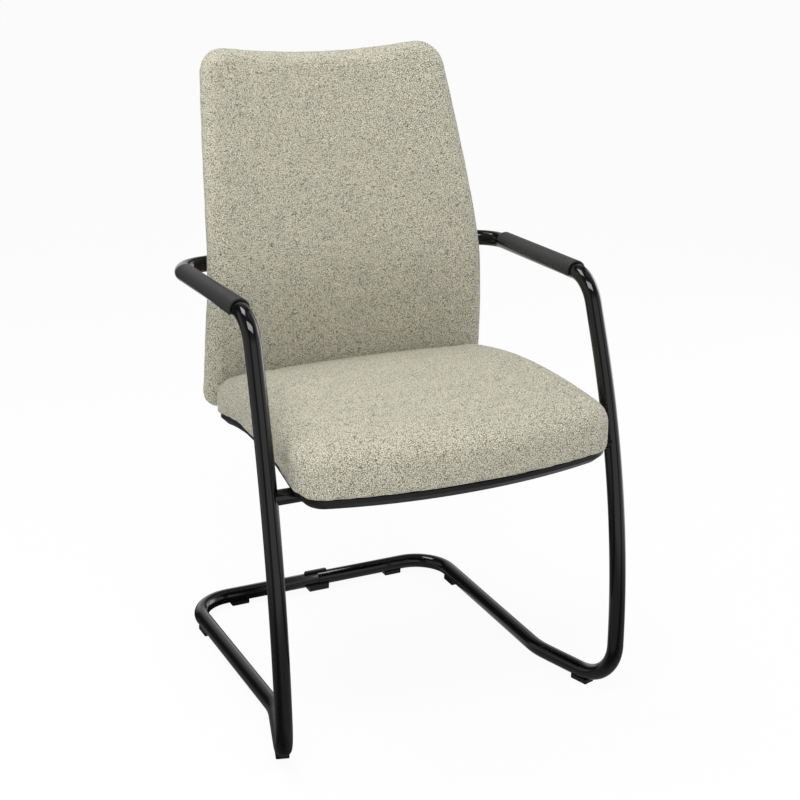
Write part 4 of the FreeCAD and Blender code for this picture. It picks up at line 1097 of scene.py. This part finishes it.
def studio_world():
    """White to the camera, a bright band under a dark ceiling to gloss, and AMBIENT to all else.

    The first output of the world's Texture Coordinate is the direction of the ray.
    """
    shader = Shader(bpy.data.worlds.new("studio"))
    place = shader.node("ShaderNodeTexCoord")
    height = shader.node("ShaderNodeSeparateXYZ", None, {"Vector": place}).other("Z")
    gloss = gloss_round(shader, place) * height.ramp(0.30, 0.72, 1.0, 0.2)
    camera, mirrored = ray_kinds(shader)
    plain = camera * (1.0 - AMBIENT) + AMBIENT
    brightness = mirrored * (gloss - plain) + plain
    back = shader.node("ShaderNodeBackground", None, {"Color": brightness})
    shader.node("ShaderNodeOutputWorld", None, {"Surface": back})
    return shader.material


class CHAIR_OT_stage(bpy.types.Operator):
    """Set up the floor, the soft light and the camera"""

    bl_idname = "chair.stage"
    bl_label = "Stage"

    def execute(self, context):
        _, colours = sizes_and_colours(context)
        scene = context.scene
        mesh = bpy.data.meshes.new("floor")
        corners = [(-1, -1, 0), (1, -1, 0), (1, 1, 0), (-1, 1, 0)]
        mesh.from_pydata((np.array(corners) * FLOOR_REACH).tolist(), [], [(0, 1, 2, 3)])
        mesh.materials.append(floor_material(colours))
        floor = bpy.data.objects.new("floor", mesh)
        scene.collection.objects.link(floor)
        scene.world = studio_world()
        for box in SOFT_BOXES:
            soft_box(*box)
        for box in FILLS:
            soft_box(*box).visible_glossy = False
        data = bpy.data.cameras.new("photo_view")
        data.lens = CAMERA_LENS
        data.sensor_width = CAMERA_SENSOR
        data.clip_end = CAMERA_REACH
        camera = bpy.data.objects.new("photo_view", data)
        backwards = direction(CAMERA_AZIMUTH, CAMERA_ELEVATION)
        camera.location = CAMERA_PLACE
        camera.rotation_euler = (-backwards).to_track_quat("-Z", "Y").to_euler()
        scene.collection.objects.link(camera)
        scene.camera = camera
        scene.view_settings.view_transform = "Standard"
        return {"FINISHED"}


class CHAIR_PT_panel(bpy.types.Panel):
    """Sizes, colours and build steps of the chair"""

    bl_idname = "CHAIR_PT_panel"
    bl_label = "Visitor chair"
    bl_space_type = "VIEW_3D"
    bl_region_type = "UI"
    bl_category = "Chair"

    def draw(self, context):
        sizes, colours = sizes_and_colours(context)
        for group in (sizes, colours):
            box = self.layout.box()
            for name in group.bl_rna.properties.keys():
                if name not in ("rna_type", "name"):
                    box.prop(group, name)
        for operator in OPERATORS:
            self.layout.operator(operator.bl_idname)


OPERATORS = (CHAIR_OT_frame, CHAIR_OT_pads, CHAIR_OT_seat, CHAIR_OT_back, CHAIR_OT_fittings, CHAIR_OT_stage)
CLASSES = (ChairSizes, ChairColours) + OPERATORS + (CHAIR_PT_panel,)


def register():
    for item in CLASSES:
        bpy.utils.register_class(item)
    bpy.types.Scene.chair_sizes = PointerProperty(type=ChairSizes)
    bpy.types.Scene.chair_colours = PointerProperty(type=ChairColours)


def unregister():
    del bpy.types.Scene.chair_colours
    del bpy.types.Scene.chair_sizes
    for item in reversed(CLASSES):
        bpy.utils.unregister_class(item)


def main():
    register()
    bpy.ops.chair.frame()
    bpy.ops.chair.pads()
    bpy.ops.chair.seat()
    bpy.ops.chair.back()
    bpy.ops.chair.fittings()
    bpy.ops.chair.stage()


if __name__ == "__main__":
    main()
